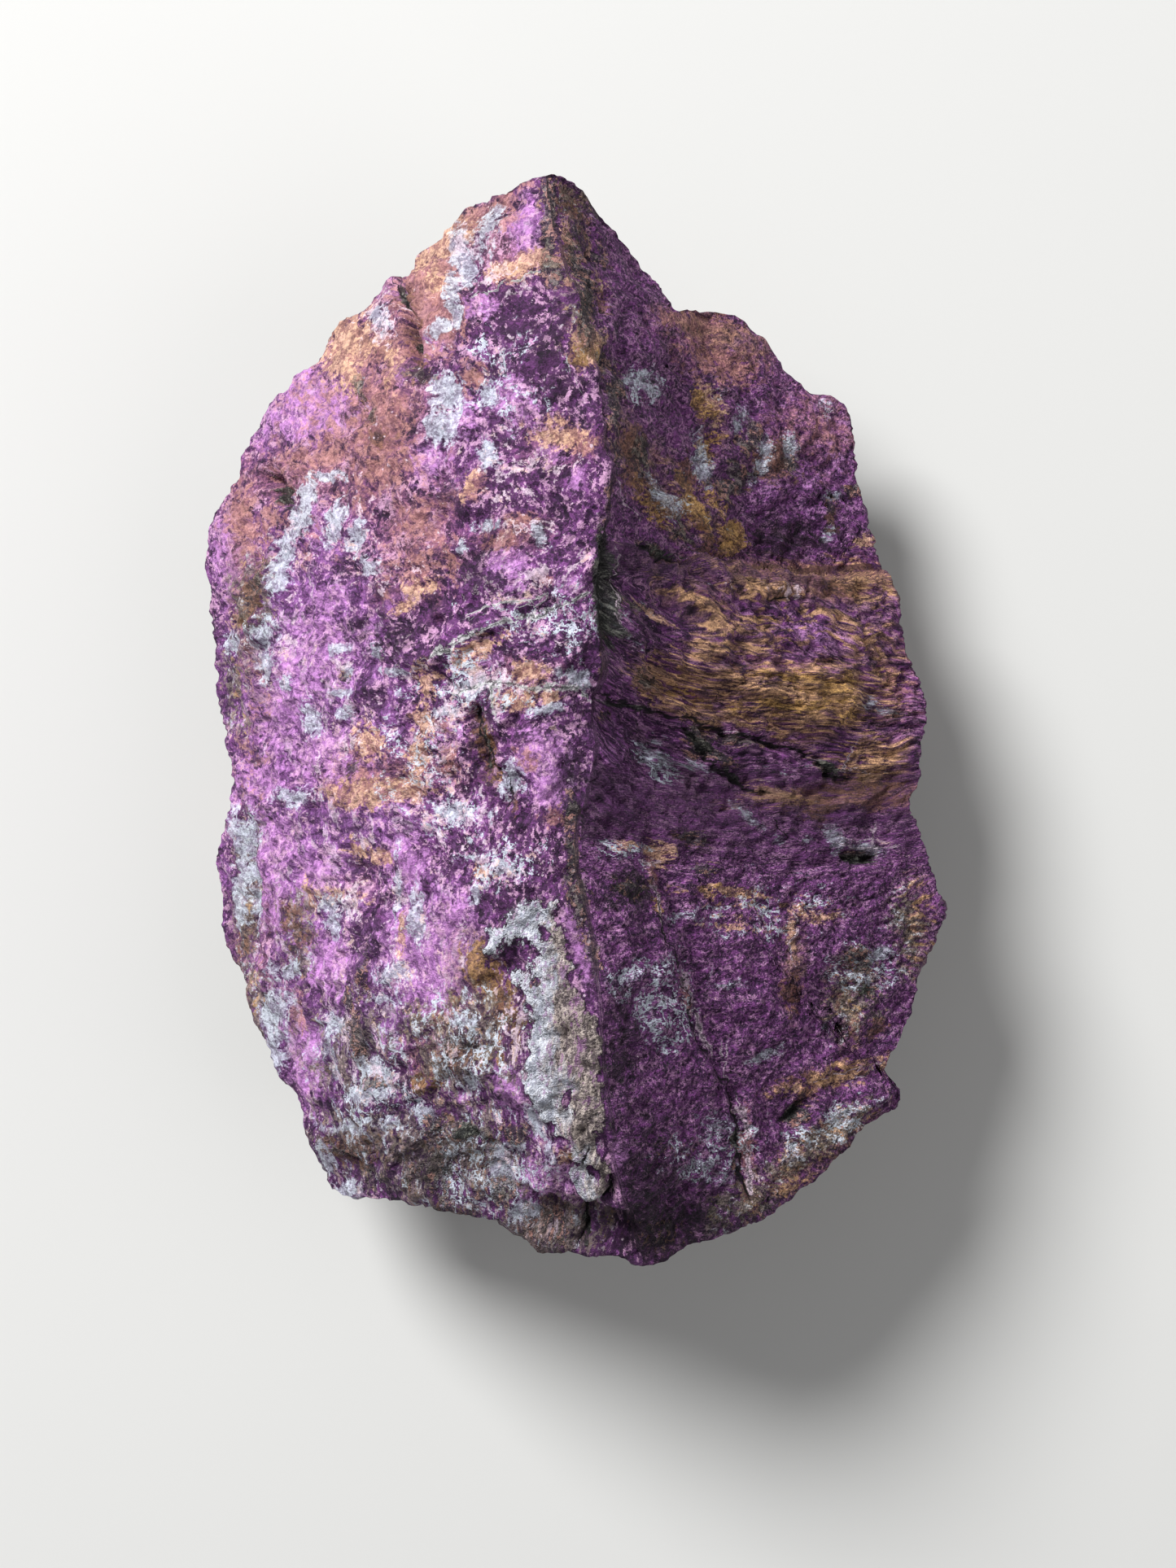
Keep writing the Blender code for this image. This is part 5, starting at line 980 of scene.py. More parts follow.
        (-9, -13, 1.4, 1.6, 0, 0.8), (-15, -4, 3, 1, 0, 0.65), (-12.4, -16.6, 2.4, 2.8, 0, 0.8),
        (-14.6, -20.6, 1.6, 2, 0, 0.7), (-10.6, -19.4, 2.6, 1.4, 0, 0.75), (-2.6, -17, 1, 3.6, 8, 0.85),
        (-3.6, -23.4, 1, 1.2, 0, 0.8), (-1, -23.8, 1.4, 1.2, 0, 0.7), (-9, 8.4, 2.6, 0.9, 10, 0.65),
        (-5.6, 25.8, 1.2, 2.4, 0, 0.6), (-3.4, 24, 1.6, 0.8, 0, 0.6), (4.6, -7, 0.8, 1.2, 20, 0.6),
        (6.6, -14.4, 0.8, 2.6, 18, 0.6), (9.6, -23.4, 0.7, 2.6, 2, 0.65), (10.6, 7.7, 1.8, 0.5, -5, 1.1),
        (16.6, -6.2, 1.6, 0.8, 0, 0.7), (16.8, -13.2, 1, 1.2, 0, 0.6), (-8.4, 2.6, 1.2, 1.2, 0, 0.6),
        (-1.2, 0.4, 1.6, 0.8, 0, 0.55), (-2, 10, 2.6, 0.9, 10, 0.65), (-1, 20.4, 2.2, 3, 0, 0.2),
        (-8, -23.4, 5, 2, -8, 0.55), (-6, -17, 2.4, 2.4, 0, 0.5), (-1.4, -26.8, 1.8, 0.9, 0, 0.95),
    ],
    # zones where pale threads show, and where the surface is mottled grey
    "threads": [
        (5.3, -15, 1.6, 1.8, 0, 1.2), (5.2, -12.6, 1.2, 0.8, 0, 1), (16.4, -13, 1.6, 1.6, 0, 1.1),
        (5.4, -1.6, 1.6, 0.8, -30, 1), (4.2, 18.3, 1.4, 0.9, 0, 1), (-5, 2, 2, 1.4, 0, 1),
        (-6.5, -4.4, 1.4, 1.2, 0, 1), (-3.8, -7, 1.8, 1.2, 0, 1.1), (-8.4, -1.6, 2, 2.4, 0, 0.9),
        (8, -22.6, 2.2, 1.6, 10, 0.9), (14.4, -21.4, 2, 1.2, 20, 0.9), (2.6, -13.4, 1, 0.8, 0, 0.8),
        (3.4, -6.4, 1.8, 0.6, -10, 0.9), (11, -9.6, 4, 1.4, 0, 0.7), (-4, 18, 2.6, 3, 0, 0.6),
        (-5.2, -23.4, 3.2, 2.4, 0, 1), (-11, -19.4, 3.2, 2.6, 0, 1), (-5.6, -16.6, 2.4, 2.4, 0, 1),
        (-1, 5.6, 3, 1.6, 0, 0.9), (6.2, 11.6, 1.4, 2.4, 30, 0.35),
    ],
    "mottle": [
        (-5.4, -16.6, 2.6, 2.2, 0, 0.95), (-11.6, -17.4, 2.6, 2.6, 0, 0.75),
        (-6.6, -22.8, 3.2, 2.4, 0, 0.95), (-12, -22.6, 2.6, 2.2, 0, 0.9), (-1.4, -27, 2.2, 1.2, 0, 1.2),
        (-3.6, -24, 1.6, 1.4, 0, 0.75), (-18.8, -9.6, 0.8, 3.6, 0, 0.9), (-8.2, -15.6, 1.4, 1.4, 0, 0.7),
        (-17.6, -15.4, 0.9, 1.8, 20, 0.9), (13.4, -22.6, 3, 0.8, 32, 0.95),
        (9.4, -25.6, 1.6, 0.8, 20, 0.9), (18.6, -11, 1, 1.8, 0, 0.75), (15.8, -14.6, 1.4, 2, 0, 0.7),
        (-18, 7.4, 1.2, 1.6, 0, 1), (0.6, 28.2, 1.4, 0.8, 0, 0.8), (0.6, 22.2, 0.9, 2.4, 10, 0.6),
        (-15.4, -11.4, 0.9, 2, 10, 0.85), (-19.6, 2.6, 0.8, 2.2, 0, 0.7),
    ],
}


# fields for the stains and for the zones of painted shade alike
def stainAndShadeField(points, worked, spots, seed):
    # the strongest spot at each point, as strength * (1 - half the distance in units of the spot's size),
    # so that a spot of strength 1 has its edge at 0.5; spots of its kind also drift over the hidden sides
    x, y, _ = points.T
    wobbleX = 0.25 * askewLumps(points, 1.2, seed)
    wobbleY = 0.25 * askewLumps(points, 1.2, seed + 1)
    value = np.zeros(len(points))
    for strength, far in ellipseFall(x + wobbleX, y + wobbleY, spots):
        value = np.maximum(value, strength * (1.0 - 0.5 * far))
    hidden = 0.32 + 0.5 * lumps(points, 5.5, seed + 2) + 0.25 * lumps(points, 2.2, seed + 3)
    return value * worked + np.maximum(hidden, 0.0) * (1.0 - worked)


def addNumbers(mesh, name, values):
    # one number, or one place, for each point of the mesh
    if values.ndim == 2:
        attribute = mesh.attributes.new(name, "FLOAT_VECTOR", "POINT")
        attribute.data.foreach_set("vector", values.astype(np.float32).ravel())
    else:
        attribute = mesh.attributes.new(name, "FLOAT", "POINT")
        attribute.data.foreach_set("value", values.astype(np.float32))


# arithmetic on sockets, and the nodes that the finishes are made from

class Wire:
    # a socket whose arithmetic signs add Math nodes
    def __init__(self, bench, socket):
        self.bench = bench
        self.socket = socket

    def maths(self, operation, *values):
        return self.bench.place("ShaderNodeMath", {"operation": operation}, dict(enumerate(values)))

    def __add__(self, other):
        return self.maths("ADD", self, other)

    def __radd__(self, other):
        return self.maths("ADD", other, self)

    def __sub__(self, other):
        return self.maths("SUBTRACT", self, other)

    def __rsub__(self, other):
        return self.maths("SUBTRACT", other, self)

    def __mul__(self, other):
        return self.maths("MULTIPLY", self, other)

    def __rmul__(self, other):
        return self.maths("MULTIPLY", other, self)

    def __abs__(self):
        return self.maths("ABSOLUTE", self)

    def smooth(self, low, high):
        # 0 below low, 1 above high, eased between
        return self.bench.place("ShaderNodeMapRange", {"interpolation_type": "SMOOTHSTEP"},
                                {"Value": self, "From Min": low, "From Max": high})


class Bench:
    # one material's node tree
    def __init__(self, name):
        self.material = bpy.data.materials.new(name)
        self.material.use_nodes = True
        self.tree = self.material.node_tree
        self.shader = self.tree.nodes["Principled BSDF"]

    def plug(self, socket, value):
        # a wire is linked, a colour of three numbers gets its alpha, and anything else is the socket's value
        if isinstance(value, Wire):
            self.tree.links.new(value.socket, socket)
        elif isinstance(value, tuple) and len(value) == 3 and socket.type == "RGBA":
            socket.default_value = (*value, 1.0)
        else:
            socket.default_value = value

    def place(self, kind, settings, sockets, out=0):
        # a new node with its settings and the values of its sockets; what comes back is one of its outputs
        node = self.tree.nodes.new(kind)
        for name, value in settings.items():
            setattr(node, name, value)
        for name, value in sockets.items():
            self.plug(node.inputs[name], value)
        return Wire(self, node.outputs[out])

    def mix(self, under, over, share):
        return self.place("ShaderNodeMix", {"data_type": "RGBA"}, {0: share, 6: under, 7: over}, out=2)

    def times(self, colour, amount):
        return self.place("ShaderNodeVectorMath", {"operation": "SCALE"}, {0: colour, "Scale": amount})

    def stretch(self, where, amounts):
        return self.place("ShaderNodeVectorMath", {"operation": "MULTIPLY"}, {0: where, 1: amounts})

    def number(self, name, out="Fac"):
        return self.place("ShaderNodeAttribute", {"attribute_name": name}, {}, out=out)

    def noise(self, where, size, detail, rough, out=0):
        return self.place("ShaderNodeTexNoise", {}, {"Vector": where, "Scale": 1.0 / size, "Detail": detail,
                                                     "Roughness": rough}, out=out)

    def cells(self, where, size, out, feature="F1"):
        return self.place("ShaderNodeTexVoronoi", {"feature": feature},
                          {"Vector": where, "Scale": 1.0 / size}, out=out)

    def shift(self, where, noise, distance):
        # moves a place by a colour noise whose middle is 0.5
        moved = self.place("ShaderNodeVectorMath", {"operation": "MULTIPLY_ADD"},
                           {0: noise, 1: (distance,) * 3, 2: (-0.5 * distance,) * 3})
        return self.place("ShaderNodeVectorMath", {"operation": "ADD"}, {0: where, 1: moved})

    def parts(self, colour):
        # the three numbers of a colour
        split = self.place("ShaderNodeSeparateColor", {}, {0: colour})
        return [Wire(self, output) for output in split.socket.node.outputs]

    def finish(self, **sockets):
        # fills the main shader's sockets, which are named with _ for a space
        for name, value in sockets.items():
            self.plug(self.shader.inputs[name.replace("_", " ")], value)
        return self.material


def paint(red, green, blue):
    # sRGB 0 to 255 to the linear values that a shader takes
    shares = [value / 255 for value in (red, green, blue)]
    return tuple(v / 12.92 if v <= 0.04045 else ((v + 0.055) / 1.055) ** 2.4 for v in shares)


stoneColours = {
    "deepPurple": (44, 20, 50),
    "purple": (122, 66, 128),
    "shadePurple": (42, 20, 50),
    "velvet": (114, 60, 118),
    "stroke": (172, 128, 164),
    "umber": (136, 104, 82),
    "umberDark": (60, 42, 48),
    "paleDark": (98, 52, 110),
    "paleLight": (162, 107, 173),
    "rose": (172, 120, 124),
    "veinDark": (54, 58, 56),
    "lilac": (186, 130, 190),
    "pink": (202, 158, 190),
    "pinkWhite": (208, 186, 202),
    "salmon": (174, 126, 116),
    "salmonDark": (118, 74, 82),
    "tan": (208, 168, 138),
    "tanDark": (126, 80, 84),
    "fibre": (214, 168, 124),
    "fibreDark": (90, 62, 60),
    "ochre": (182, 142, 84),
    "ochreDark": (96, 68, 46),
    "brown": (122, 84, 68),
    "brownDark": (50, 36, 38),
    "grey": (188, 195, 207),
    "greyDark": (136, 130, 148),
    "crust": (214, 218, 226),
    "crustDark": (150, 153, 166),
    "crustBrown": (88, 76, 74),
    "crustWarm": (184, 170, 160),
    "black": (38, 40, 38),
    "blackLight": (104, 106, 98),
    "dark": (44, 38, 42),
    "darkLight": (112, 106, 100),
    "mottle": (130, 118, 108),
    "mottleDark": (60, 50, 54),
    "crack": (12, 8, 12),
    "vein": (200, 202, 200),
}

stoneFinish = {
    # noises: size, detail, roughness
    "clump": (1.2, 5.0, 0.72),
    "grain": (0.46, 3.0, 0.74),
    "thread": (0.4, 2.0, 0.6),
    "hair": (0.36, 2.0, 0.65),
    "fine": (0.2, 2.0, 0.65),
    "dust": (0.09, 1.0, 0.6),
    "flakeWander": (0.24, 3.0, 0.7),
    "netWander": (0.8, 3.0, 0.65),
    "streak": (0.9, 4.0, 0.68),
    # sizes of cells, and how far two of them are shifted by their noise
    "flakeCell": 0.22,
    "flakeShift": 0.5,
    "hollowCell": 0.5,
    "netCell": 0.72,
    "netShift": 1.6,
    "glintCell": 0.55,
    # the grain squeezed or drawn out before a noise reads it: across, along, upwards
    "upright": (2.0, 0.8, 1.0),
    "fanned": (0.8, 2.2, 1.0),
    "combed": (0.6, 2.6, 1.0),
    "falling": (1.5, 0.4, 1.0),
    "bumpDepth": 0.22,
    "specular": 0.35,
    "roughness": 0.84,
    "glintGloss": 0.4,
}


class StoneGrain:
    # the noises and tones that all the stone's layers share, and how a layer of colour is laid by them
    def __init__(self, bench):
        self.bench = bench
        self.colours = {name: paint(*value) for name, value in stoneColours.items()}
        metres = bench.place("ShaderNodeTexCoord", {}, {}, out="Object")
        self.here = bench.times(metres, 1.0 / mm)
        self.flow = bench.number("grainPlace", "Vector")
        self.right = bench.number("rightSide").smooth(0.35, 0.65)
        self.left = 1.0 - self.right
        self.fan = bench.number("fan").smooth(0.35, 0.75)

        # clumps, grains and threads follow the fibres; hair and fine grain do so only in the fan
        self.clumpA, self.clumpB, self.clumpC = self.threeNoises(self.flow, "clump")
        self.grainA, self.grainB, self.grainC = self.threeNoises(self.flow, "grain")
        upright = bench.stretch(self.flow, stoneFinish["upright"])
        fanned = bench.stretch(self.flow, stoneFinish["fanned"])
        drawn = bench.mix(upright, bench.mix(self.flow, fanned, self.fan), self.right)
        self.threadA, self.threadB, self.threadC = self.threeNoises(drawn, "thread")
        combed = bench.stretch(self.flow, stoneFinish["combed"])
        self.hair = bench.noise(bench.mix(self.here, combed, self.fan), *stoneFinish["hair"])
        self.fine = bench.noise(bench.mix(self.here, self.flow, self.fan), *stoneFinish["fine"])
        self.dust = bench.noise(self.here, *stoneFinish["dust"])
        self.grit = self.fine * 0.7 + self.dust * 0.3
        # flakes: small ragged cells, each with three numbers of its own
        wander = bench.noise(self.here, *stoneFinish["flakeWander"], out="Color")
        self.ragged = bench.shift(self.flow, wander, stoneFinish["flakeShift"])
        self.flakeA, self.flakeB, self.flakeC = bench.parts(
            bench.cells(self.ragged, stoneFinish["flakeCell"], "Color"))

        # how light each grain is
        self.toneA = (self.grit * 0.42 + self.grainB * 0.3 + self.flakeA * 0.18
                      + self.clumpC * 0.1).smooth(0.4, 0.6)
        self.toneB = (self.grit * 0.42 + self.grainC * 0.3 + self.flakeC * 0.18
                      + self.clumpA * 0.1).smooth(0.4, 0.6)
        # patterns that decide where a stain shows, named by their clump and grain
        self.both = {
            "AA": self.pattern(self.clumpA, self.grainA, self.flakeA),
            "AB": self.pattern(self.clumpA, self.grainB, self.flakeB),
            "BB": self.pattern(self.clumpB, self.grainB, self.flakeC),
            "BC": self.pattern(self.clumpB, self.grainC, self.flakeA),
            "CC": self.pattern(self.clumpC, self.grainC, self.flakeB),
            "CA": self.pattern(self.clumpC, self.grainA, self.flakeC),
            "thread": self.threadA * 0.5 + self.clumpA * 0.25 + self.grainB * 0.2 + 0.025,
        }
        # the layers that others read too
        self.pale = self.zone("pale", "AB")
        self.deep = self.stain("deep", "BC", 4.4, 0.16)
        self.dark = self.stain("dark", "BB", 3.4, 0.16)
        self.black = self.stain("black", "AA", 2.4, 0.1)
        self.crustEdge = (bench.number("crust") + (self.clumpA - 0.5) * 0.9
                          + (self.grainB - 0.5) * 1.1 + (self.flakeA - 0.5) * 0.2)
        self.crust = self.crustEdge.smooth(-0.04, 0.06)

    def threeNoises(self, where, name):
        # the three numbers of a colour noise, which don't follow each other
        return self.bench.parts(self.bench.noise(where, *stoneFinish[name], out="Color"))

    def pattern(self, clump, grain, flake):
        # a sum of coarse, middling and fine noise, with its middle near 0.5
        return clump * 0.4 + grain * 0.32 + flake * 0.12 + self.fine * 0.14 + 0.01

    def stain(self, name, which, gain=4.0, soft=0.13):
        # the placed spots are the chance of a colour showing, and a pattern decides where it does
        near = self.bench.number("stain_" + name)
        chance = near + (self.both[which] - 0.5) * gain
        return chance.smooth(0.5 - soft, 0.5 + soft) * near.smooth(0.02, 0.28)

    def zone(self, name, which):
        # a soft zone, its strength varied by a pattern
        near = self.bench.number("stain_" + name)
        return (near + (self.both[which] - 0.5) * 3.6).smooth(0.1, 0.9) * near.smooth(0.0, 0.3)

    def over(self, colour, name, share):
        # one plain colour over what is there
        return self.bench.mix(colour, self.colours[name], share)

    def darker(self, colour, amount, share):
        # what is there, times an amount
        return self.bench.mix(colour, self.bench.times(colour, amount), share)

    def lay(self, colour, dark, light, share, tone):
        # a colour that goes from dark to light with a tone
        return self.bench.mix(colour, self.bench.mix(self.colours[dark], self.colours[light], tone), share)


def purpleGround(look):
    # granular purple left of the ridge, velvety with fine strokes right of it, and a paler streaky purple
    bench = look.bench
    tone = look.toneB * 0.82 + look.clumpB.smooth(0.4, 0.6) * 0.28 - 0.04
    granular = bench.mix(look.colours["deepPurple"], look.colours["purple"], tone)
    tone = look.grit * 0.42 + look.threadC * 0.16 + look.clumpB * 0.14 + look.grainA * 0.27 + 0.01
    velvet = bench.mix(look.colours["shadePurple"], look.colours["velvet"], tone.smooth(0.4, 0.61))
    stroke = look.hair.smooth(0.55, 0.62) * look.grit.smooth(0.42, 0.54) * look.clumpC.smooth(0.38, 0.56)
    velvet = look.over(velvet, "stroke", stroke * (look.fan * 0.3 + 0.35))
    motes = look.grit * 0.6 + look.flakeB * 0.25 + look.grainC * 0.15
    velvet = look.over(velvet, "stroke", motes.smooth(0.55, 0.61) * 0.5)
    colour = bench.mix(granular, velvet, look.right)

    tone = look.toneA * 0.75 + look.clumpA.smooth(0.4, 0.6) * 0.3 - 0.03
    colour = look.lay(colour, "paleDark", "paleLight", look.pale * (0.85 - look.right * 0.35), tone)
    streak = bench.noise(bench.stretch(look.flow, stoneFinish["falling"]), *stoneFinish["streak"])
    streaky = (look.pale * look.left).smooth(0.1, 0.9)
    colour = look.darker(colour, 0.5, (1.0 - streak.smooth(0.38, 0.46)) * streaky * 0.85)
    return look.over(colour, "pinkWhite", streak.smooth(0.55, 0.61) * streaky * 0.62)


def rosyTints(look, colour):
    # rosy zones, deep purple patches, lilac patches and pink crumbs
    colour = look.over(colour, "rose", look.zone("rose", "BB") * (look.toneB * 0.4 + 0.22))
    colour = look.darker(colour, 0.44, look.deep * 0.88)
    lilac = look.stain("lilac", "AB", 3.8, 0.24)
    colour = look.over(colour, "lilac", lilac * (look.toneA * 0.55 + 0.25))
    crumbs = (look.both["CA"] - 0.5) * 4.6 + 0.33 - look.deep * 0.1 - look.right * 0.55
    return look.over(colour, "pink", crumbs.smooth(0.42, 0.6) * (look.toneB * 0.45 + 0.25))


def warmStains(look, colour):
    # salmon, tan, umber, fibres, ochre and brown, and a fine mottle of olive, blue-grey and ochre grains
    toneA, toneB = look.toneA, look.toneB
    salmon = look.stain("salmon", "BB", 4.2, 0.22)
    colour = look.lay(colour, "salmonDark", "salmon", salmon * 0.8, toneA * 0.75 + 0.1)
    tan = look.stain("tan", "CC", 5.0, 0.18)
    colour = look.lay(colour, "tanDark", "tan", tan * 0.84, toneB * 0.8 + 0.16)
    colour = look.lay(colour, "umberDark", "umber", look.zone("umber", "AB") * 0.62, toneA)
    tone = (look.grit * 0.4 + look.threadB * 0.4 + look.grainA * 0.18 + 0.01).smooth(0.41, 0.6)
    colour = look.lay(colour, "fibreDark", "fibre", look.stain("fibre", "thread", 4.4, 0.16) * 0.8, tone)
    tone = toneB * (look.right * 0.4 + 0.6)
    colour = look.lay(colour, "ochreDark", "ochre", look.stain("ochre", "AA", 5.0) * 0.84, tone)
    mixed = look.bench.mix(look.colours["mottleDark"], look.colours["mottle"], toneA)
    mixed = look.over(mixed, "grey", look.both["AB"].smooth(0.54, 0.59) * 0.65)
    mixed = look.over(mixed, "ochre", look.both["BC"].smooth(0.55, 0.61) * 0.7)
    colour = look.bench.mix(colour, mixed, look.stain("mottle", "CA", 4.6, 0.18) * 0.84)
    return look.lay(colour, "brownDark", "brown", look.stain("brown", "BC") * 0.78, toneA)


def paleCover(look, colour):
    # pale threads in a ragged net of thin lines
    bench = look.bench
    wander = bench.noise(look.here, *stoneFinish["netWander"], out="Color")
    ways = bench.shift(look.flow, wander, stoneFinish["netShift"])
    edge = bench.cells(ways, stoneFinish["netCell"], "Distance", "DISTANCE_TO_EDGE")
    net = 1.0 - edge.smooth(0.05, 0.11)
    web = 1.0 - abs(look.grainC - 0.5).smooth(0.01, 0.04)
    wanted = (bench.number("stain_threads") + (look.clumpA - 0.5) * 3.0).smooth(0.4, 0.8)
    threads = (net * look.grainA.smooth(0.4, 0.48) + web * look.grainB.smooth(0.5, 0.58)) * wanted
    colour = look.over(colour, "grey", threads.smooth(0.0, 1.0) * 0.88)
    # grey-blue films: solid patches on the left, mostly thread-like on the right
    solid = bench.number("stain_grey").smooth(0.8, 1.1) * 0.5
    netted = (1.0 - abs(look.grainA - 0.5).smooth(0.015, 0.05)) * 0.75 + 0.12
    film = look.stain("grey", "AB", 4.2, 0.16) * (look.left * 0.82 + look.right * (netted + solid))
    colour = look.lay(colour, "greyDark", "grey", film, look.toneB)
    # white crumbs, mostly in the chalky zones and near the ridge
    chalk = bench.number("stain_chalk") * 0.7 - look.right * 0.12 - look.pale * 0.1
    crumbs = look.clumpB * 0.44 + look.grainC * 0.42 + look.fine * 0.14
    white = ((crumbs - 0.5) * 4.8 + chalk).smooth(0.48, 0.66)
    warmth = (look.clumpC * 0.7 + look.grainA * 0.3).smooth(0.5, 0.58) * 0.6
    chalkTone = bench.mix(look.colours["pinkWhite"], look.colours["tan"], warmth)
    return bench.mix(colour, chalkTone, white * (look.toneA * 0.3 + 0.5))


def darkStains(look, colour):
    # dark patches speckled with salmon, then black ones
    tone = look.grit * 0.6 + look.flakeB * 0.25 + look.grainA * 0.15
    colour = look.lay(colour, "dark", "darkLight", look.dark * 0.82, tone.smooth(0.46, 0.6))
    specks = (look.grit * 0.5 + look.flakeC * 0.3 + look.grainB * 0.2).smooth(0.57, 0.63)
    colour = look.over(colour, "salmon", look.dark * specks * 0.6)
    tone = (look.grit * 0.6 + look.grainC * 0.4).smooth(0.48, 0.6)
    return look.lay(colour, "black", "blackLight", look.black * 0.92, tone)


def crustCover(look, colour):
    # the crust: blue-grey with a pale rim on its left, partly its own colour and partly a painted highlight
    # on its lit edge, browner on its right, pitted, with purple showing through, and a painted shadow as a
    # dark line round it
    bench, edge = look.bench, look.crustEdge
    # painted shadow: a dark band just outside the raised crust's edge
    colour = bench.times(colour, 1.0 - (edge.smooth(-0.3, -0.02) - edge.smooth(-0.02, 0.08)) * 0.5)
    warm = (bench.number("crustAcross") * 0.5 + (look.clumpB - 0.5) * 3.4 - 0.2).smooth(-0.3, 0.4)
    bluish = bench.mix(look.colours["crustDark"], look.colours["crust"], look.toneB)
    brownish = bench.mix(look.colours["crustBrown"], look.colours["crustWarm"],
                         (look.threadA * 0.4 + look.grit * 0.6).smooth(0.43, 0.58))
    plate = bench.mix(bluish, brownish, warm * 0.95)
    plate = bench.times(plate, abs(look.grainA - 0.5).smooth(0.0, 0.04) * 0.34 + look.flakeB * 0.3 + 0.67)
    pits = (look.both["CA"] * 0.5 + look.grit * 0.5).smooth(0.51, 0.56)
    plate = look.over(plate, "mottleDark", pits * 0.42)
    plate = look.over(plate, "purple", look.both["CC"].smooth(0.53, 0.57) * 0.6)
    # pale rim on the crust's left: partly the crust's own pale colour, partly a painted highlight on its lit
    # edge
    litRim = (look.crust - edge.smooth(0.06, 0.2)) * (1.0 - warm)
    plate = look.over(plate, "crust", litRim * 0.8)
    return bench.mix(colour, plate, look.crust * (1.0 - look.deep * 0.85) * 0.94)


def veinsAndCracks(look, colour):
    # pale veins with a dark core, then dark seams and dashes along the fibres, then the cracks
    bench = look.bench
    line = abs(bench.number("veinLine") + (look.grit - 0.5) * 0.4)
    near = bench.number("veinNear")
    vein = (1.0 - line.smooth(0.1, 0.18)) * near * look.grainA.smooth(0.4, 0.5)
    colour = look.lay(colour, "pinkWhite", "vein", vein * (look.toneB * 0.4 + 0.45), look.left)
    core = (1.0 - line.smooth(0.01, 0.06)) * near * look.grainB.smooth(0.4, 0.48)
    colour = look.over(colour, "veinDark", core * 0.85)
    seam = (1.0 - abs(look.clumpB - 0.5).smooth(0.004, 0.022)) * look.right * look.grainB.smooth(0.44, 0.52)
    colour = look.over(colour, "crack", seam * 0.55)
    dash = (1.0 - look.hair.smooth(0.36, 0.43)) * look.right * look.grainC.smooth(0.48, 0.56)
    colour = look.over(colour, "crack", dash * 0.6)
    line = abs(bench.number("crackLine") + (look.grit - 0.5) * 0.45)
    crack = (1.0 - line.smooth(0.05, 0.15)) * bench.number("crackNear")
    return look.over(colour, "crack", crack * 0.94)


def paintedGrainShade(look, colour):
    # painted shade: grains lighter than the hollows between them, the left face a little lighter, and the
    # zones of painted shade darker
    bench = look.bench
    # painted shade in the small hollows between the grains, and painted light on the grain tops
    hollow = bench.cells(look.ragged, stoneFinish["hollowCell"], "Distance").smooth(0.1, 0.22)
    hollowShade = (1.0 - hollow) * look.grainA.smooth(0.44, 0.54)
    litTops = (look.grit.smooth(0.34, 0.66) * (look.right * 0.34 + 0.36) + look.grainB.smooth(0.35, 0.65) * 0.2
            + look.clumpA.smooth(0.4, 0.6) * 0.26 + look.left * 0.08 + 0.52)
    shade = look.zone("shade", "BC")
    return bench.times(colour, litTops * (1.0 - shade * 0.72) * (1.0 - hollowShade * (look.left * 0.3 + 0.3)))


def grainHeight(look):
    # height of the grain for the bump: softer on the left, combed in the fan, rough on the crust and on
    # the dark places
    height = look.fine * 0.7 + look.dust * 0.3 + look.grainA * 0.6 + look.flakeA * 0.1
    combed = (look.hair * 0.9 - 0.45) * look.right * (look.fan * 0.6 + 0.35)
    height = (height + combed * look.clumpC.smooth(0.36, 0.56)) * (1.0 - look.left * 0.45)
    height = height + look.crust * (look.grit * 0.7 + look.flakeB * 0.3 + 0.5)
    return height + (look.dark + look.black) * (look.grit * 0.6 + look.flakeC * 0.4)


def makeStoneMaterial():
    # every layer of colour in turn, the last of them painted shade, then the glints, and the height of the
    # grain as a bump
    bench = Bench("purple_phosphate")
    look = StoneGrain(bench)
    colour = purpleGround(look)
    for layer in (rosyTints, warmStains, paleCover, darkStains, crustCover, veinsAndCracks, paintedGrainShade):
        colour = layer(look, colour)
    # small glints, fewer on the right
    spark = bench.cells(look.here, stoneFinish["glintCell"], "Distance")
    glint = (1.0 - spark.smooth(0.08, 0.2)) * look.grainC.smooth(0.55, 0.6) * (look.left * 0.7 + 0.15)
    colour = look.over(colour, "pinkWhite", glint * 0.8)
    bump = bench.place("ShaderNodeBump", {}, {"Strength": 1.0, "Distance": stoneFinish["bumpDepth"] * mm,
                                              "Height": grainHeight(look)})
    bench.shader.inputs["Specular IOR Level"].default_value = stoneFinish["specular"]
    roughness = stoneFinish["roughness"] - glint * stoneFinish["glintGloss"]
    return bench.finish(Base_Color=colour, Roughness=roughness, Normal=bump)


def fitToSolid(points):
    # stretched a little along each axis, so that the finished surface fills the solid's own box
    low, high = (np.array(corner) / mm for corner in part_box("purpurite_stone"))
    span = points.max(0) - points.min(0)
    print("stage: stone carved, fit", np.round((high - low) / span, 3))
    return (points - points.min(0)) / span * (high - low) + low


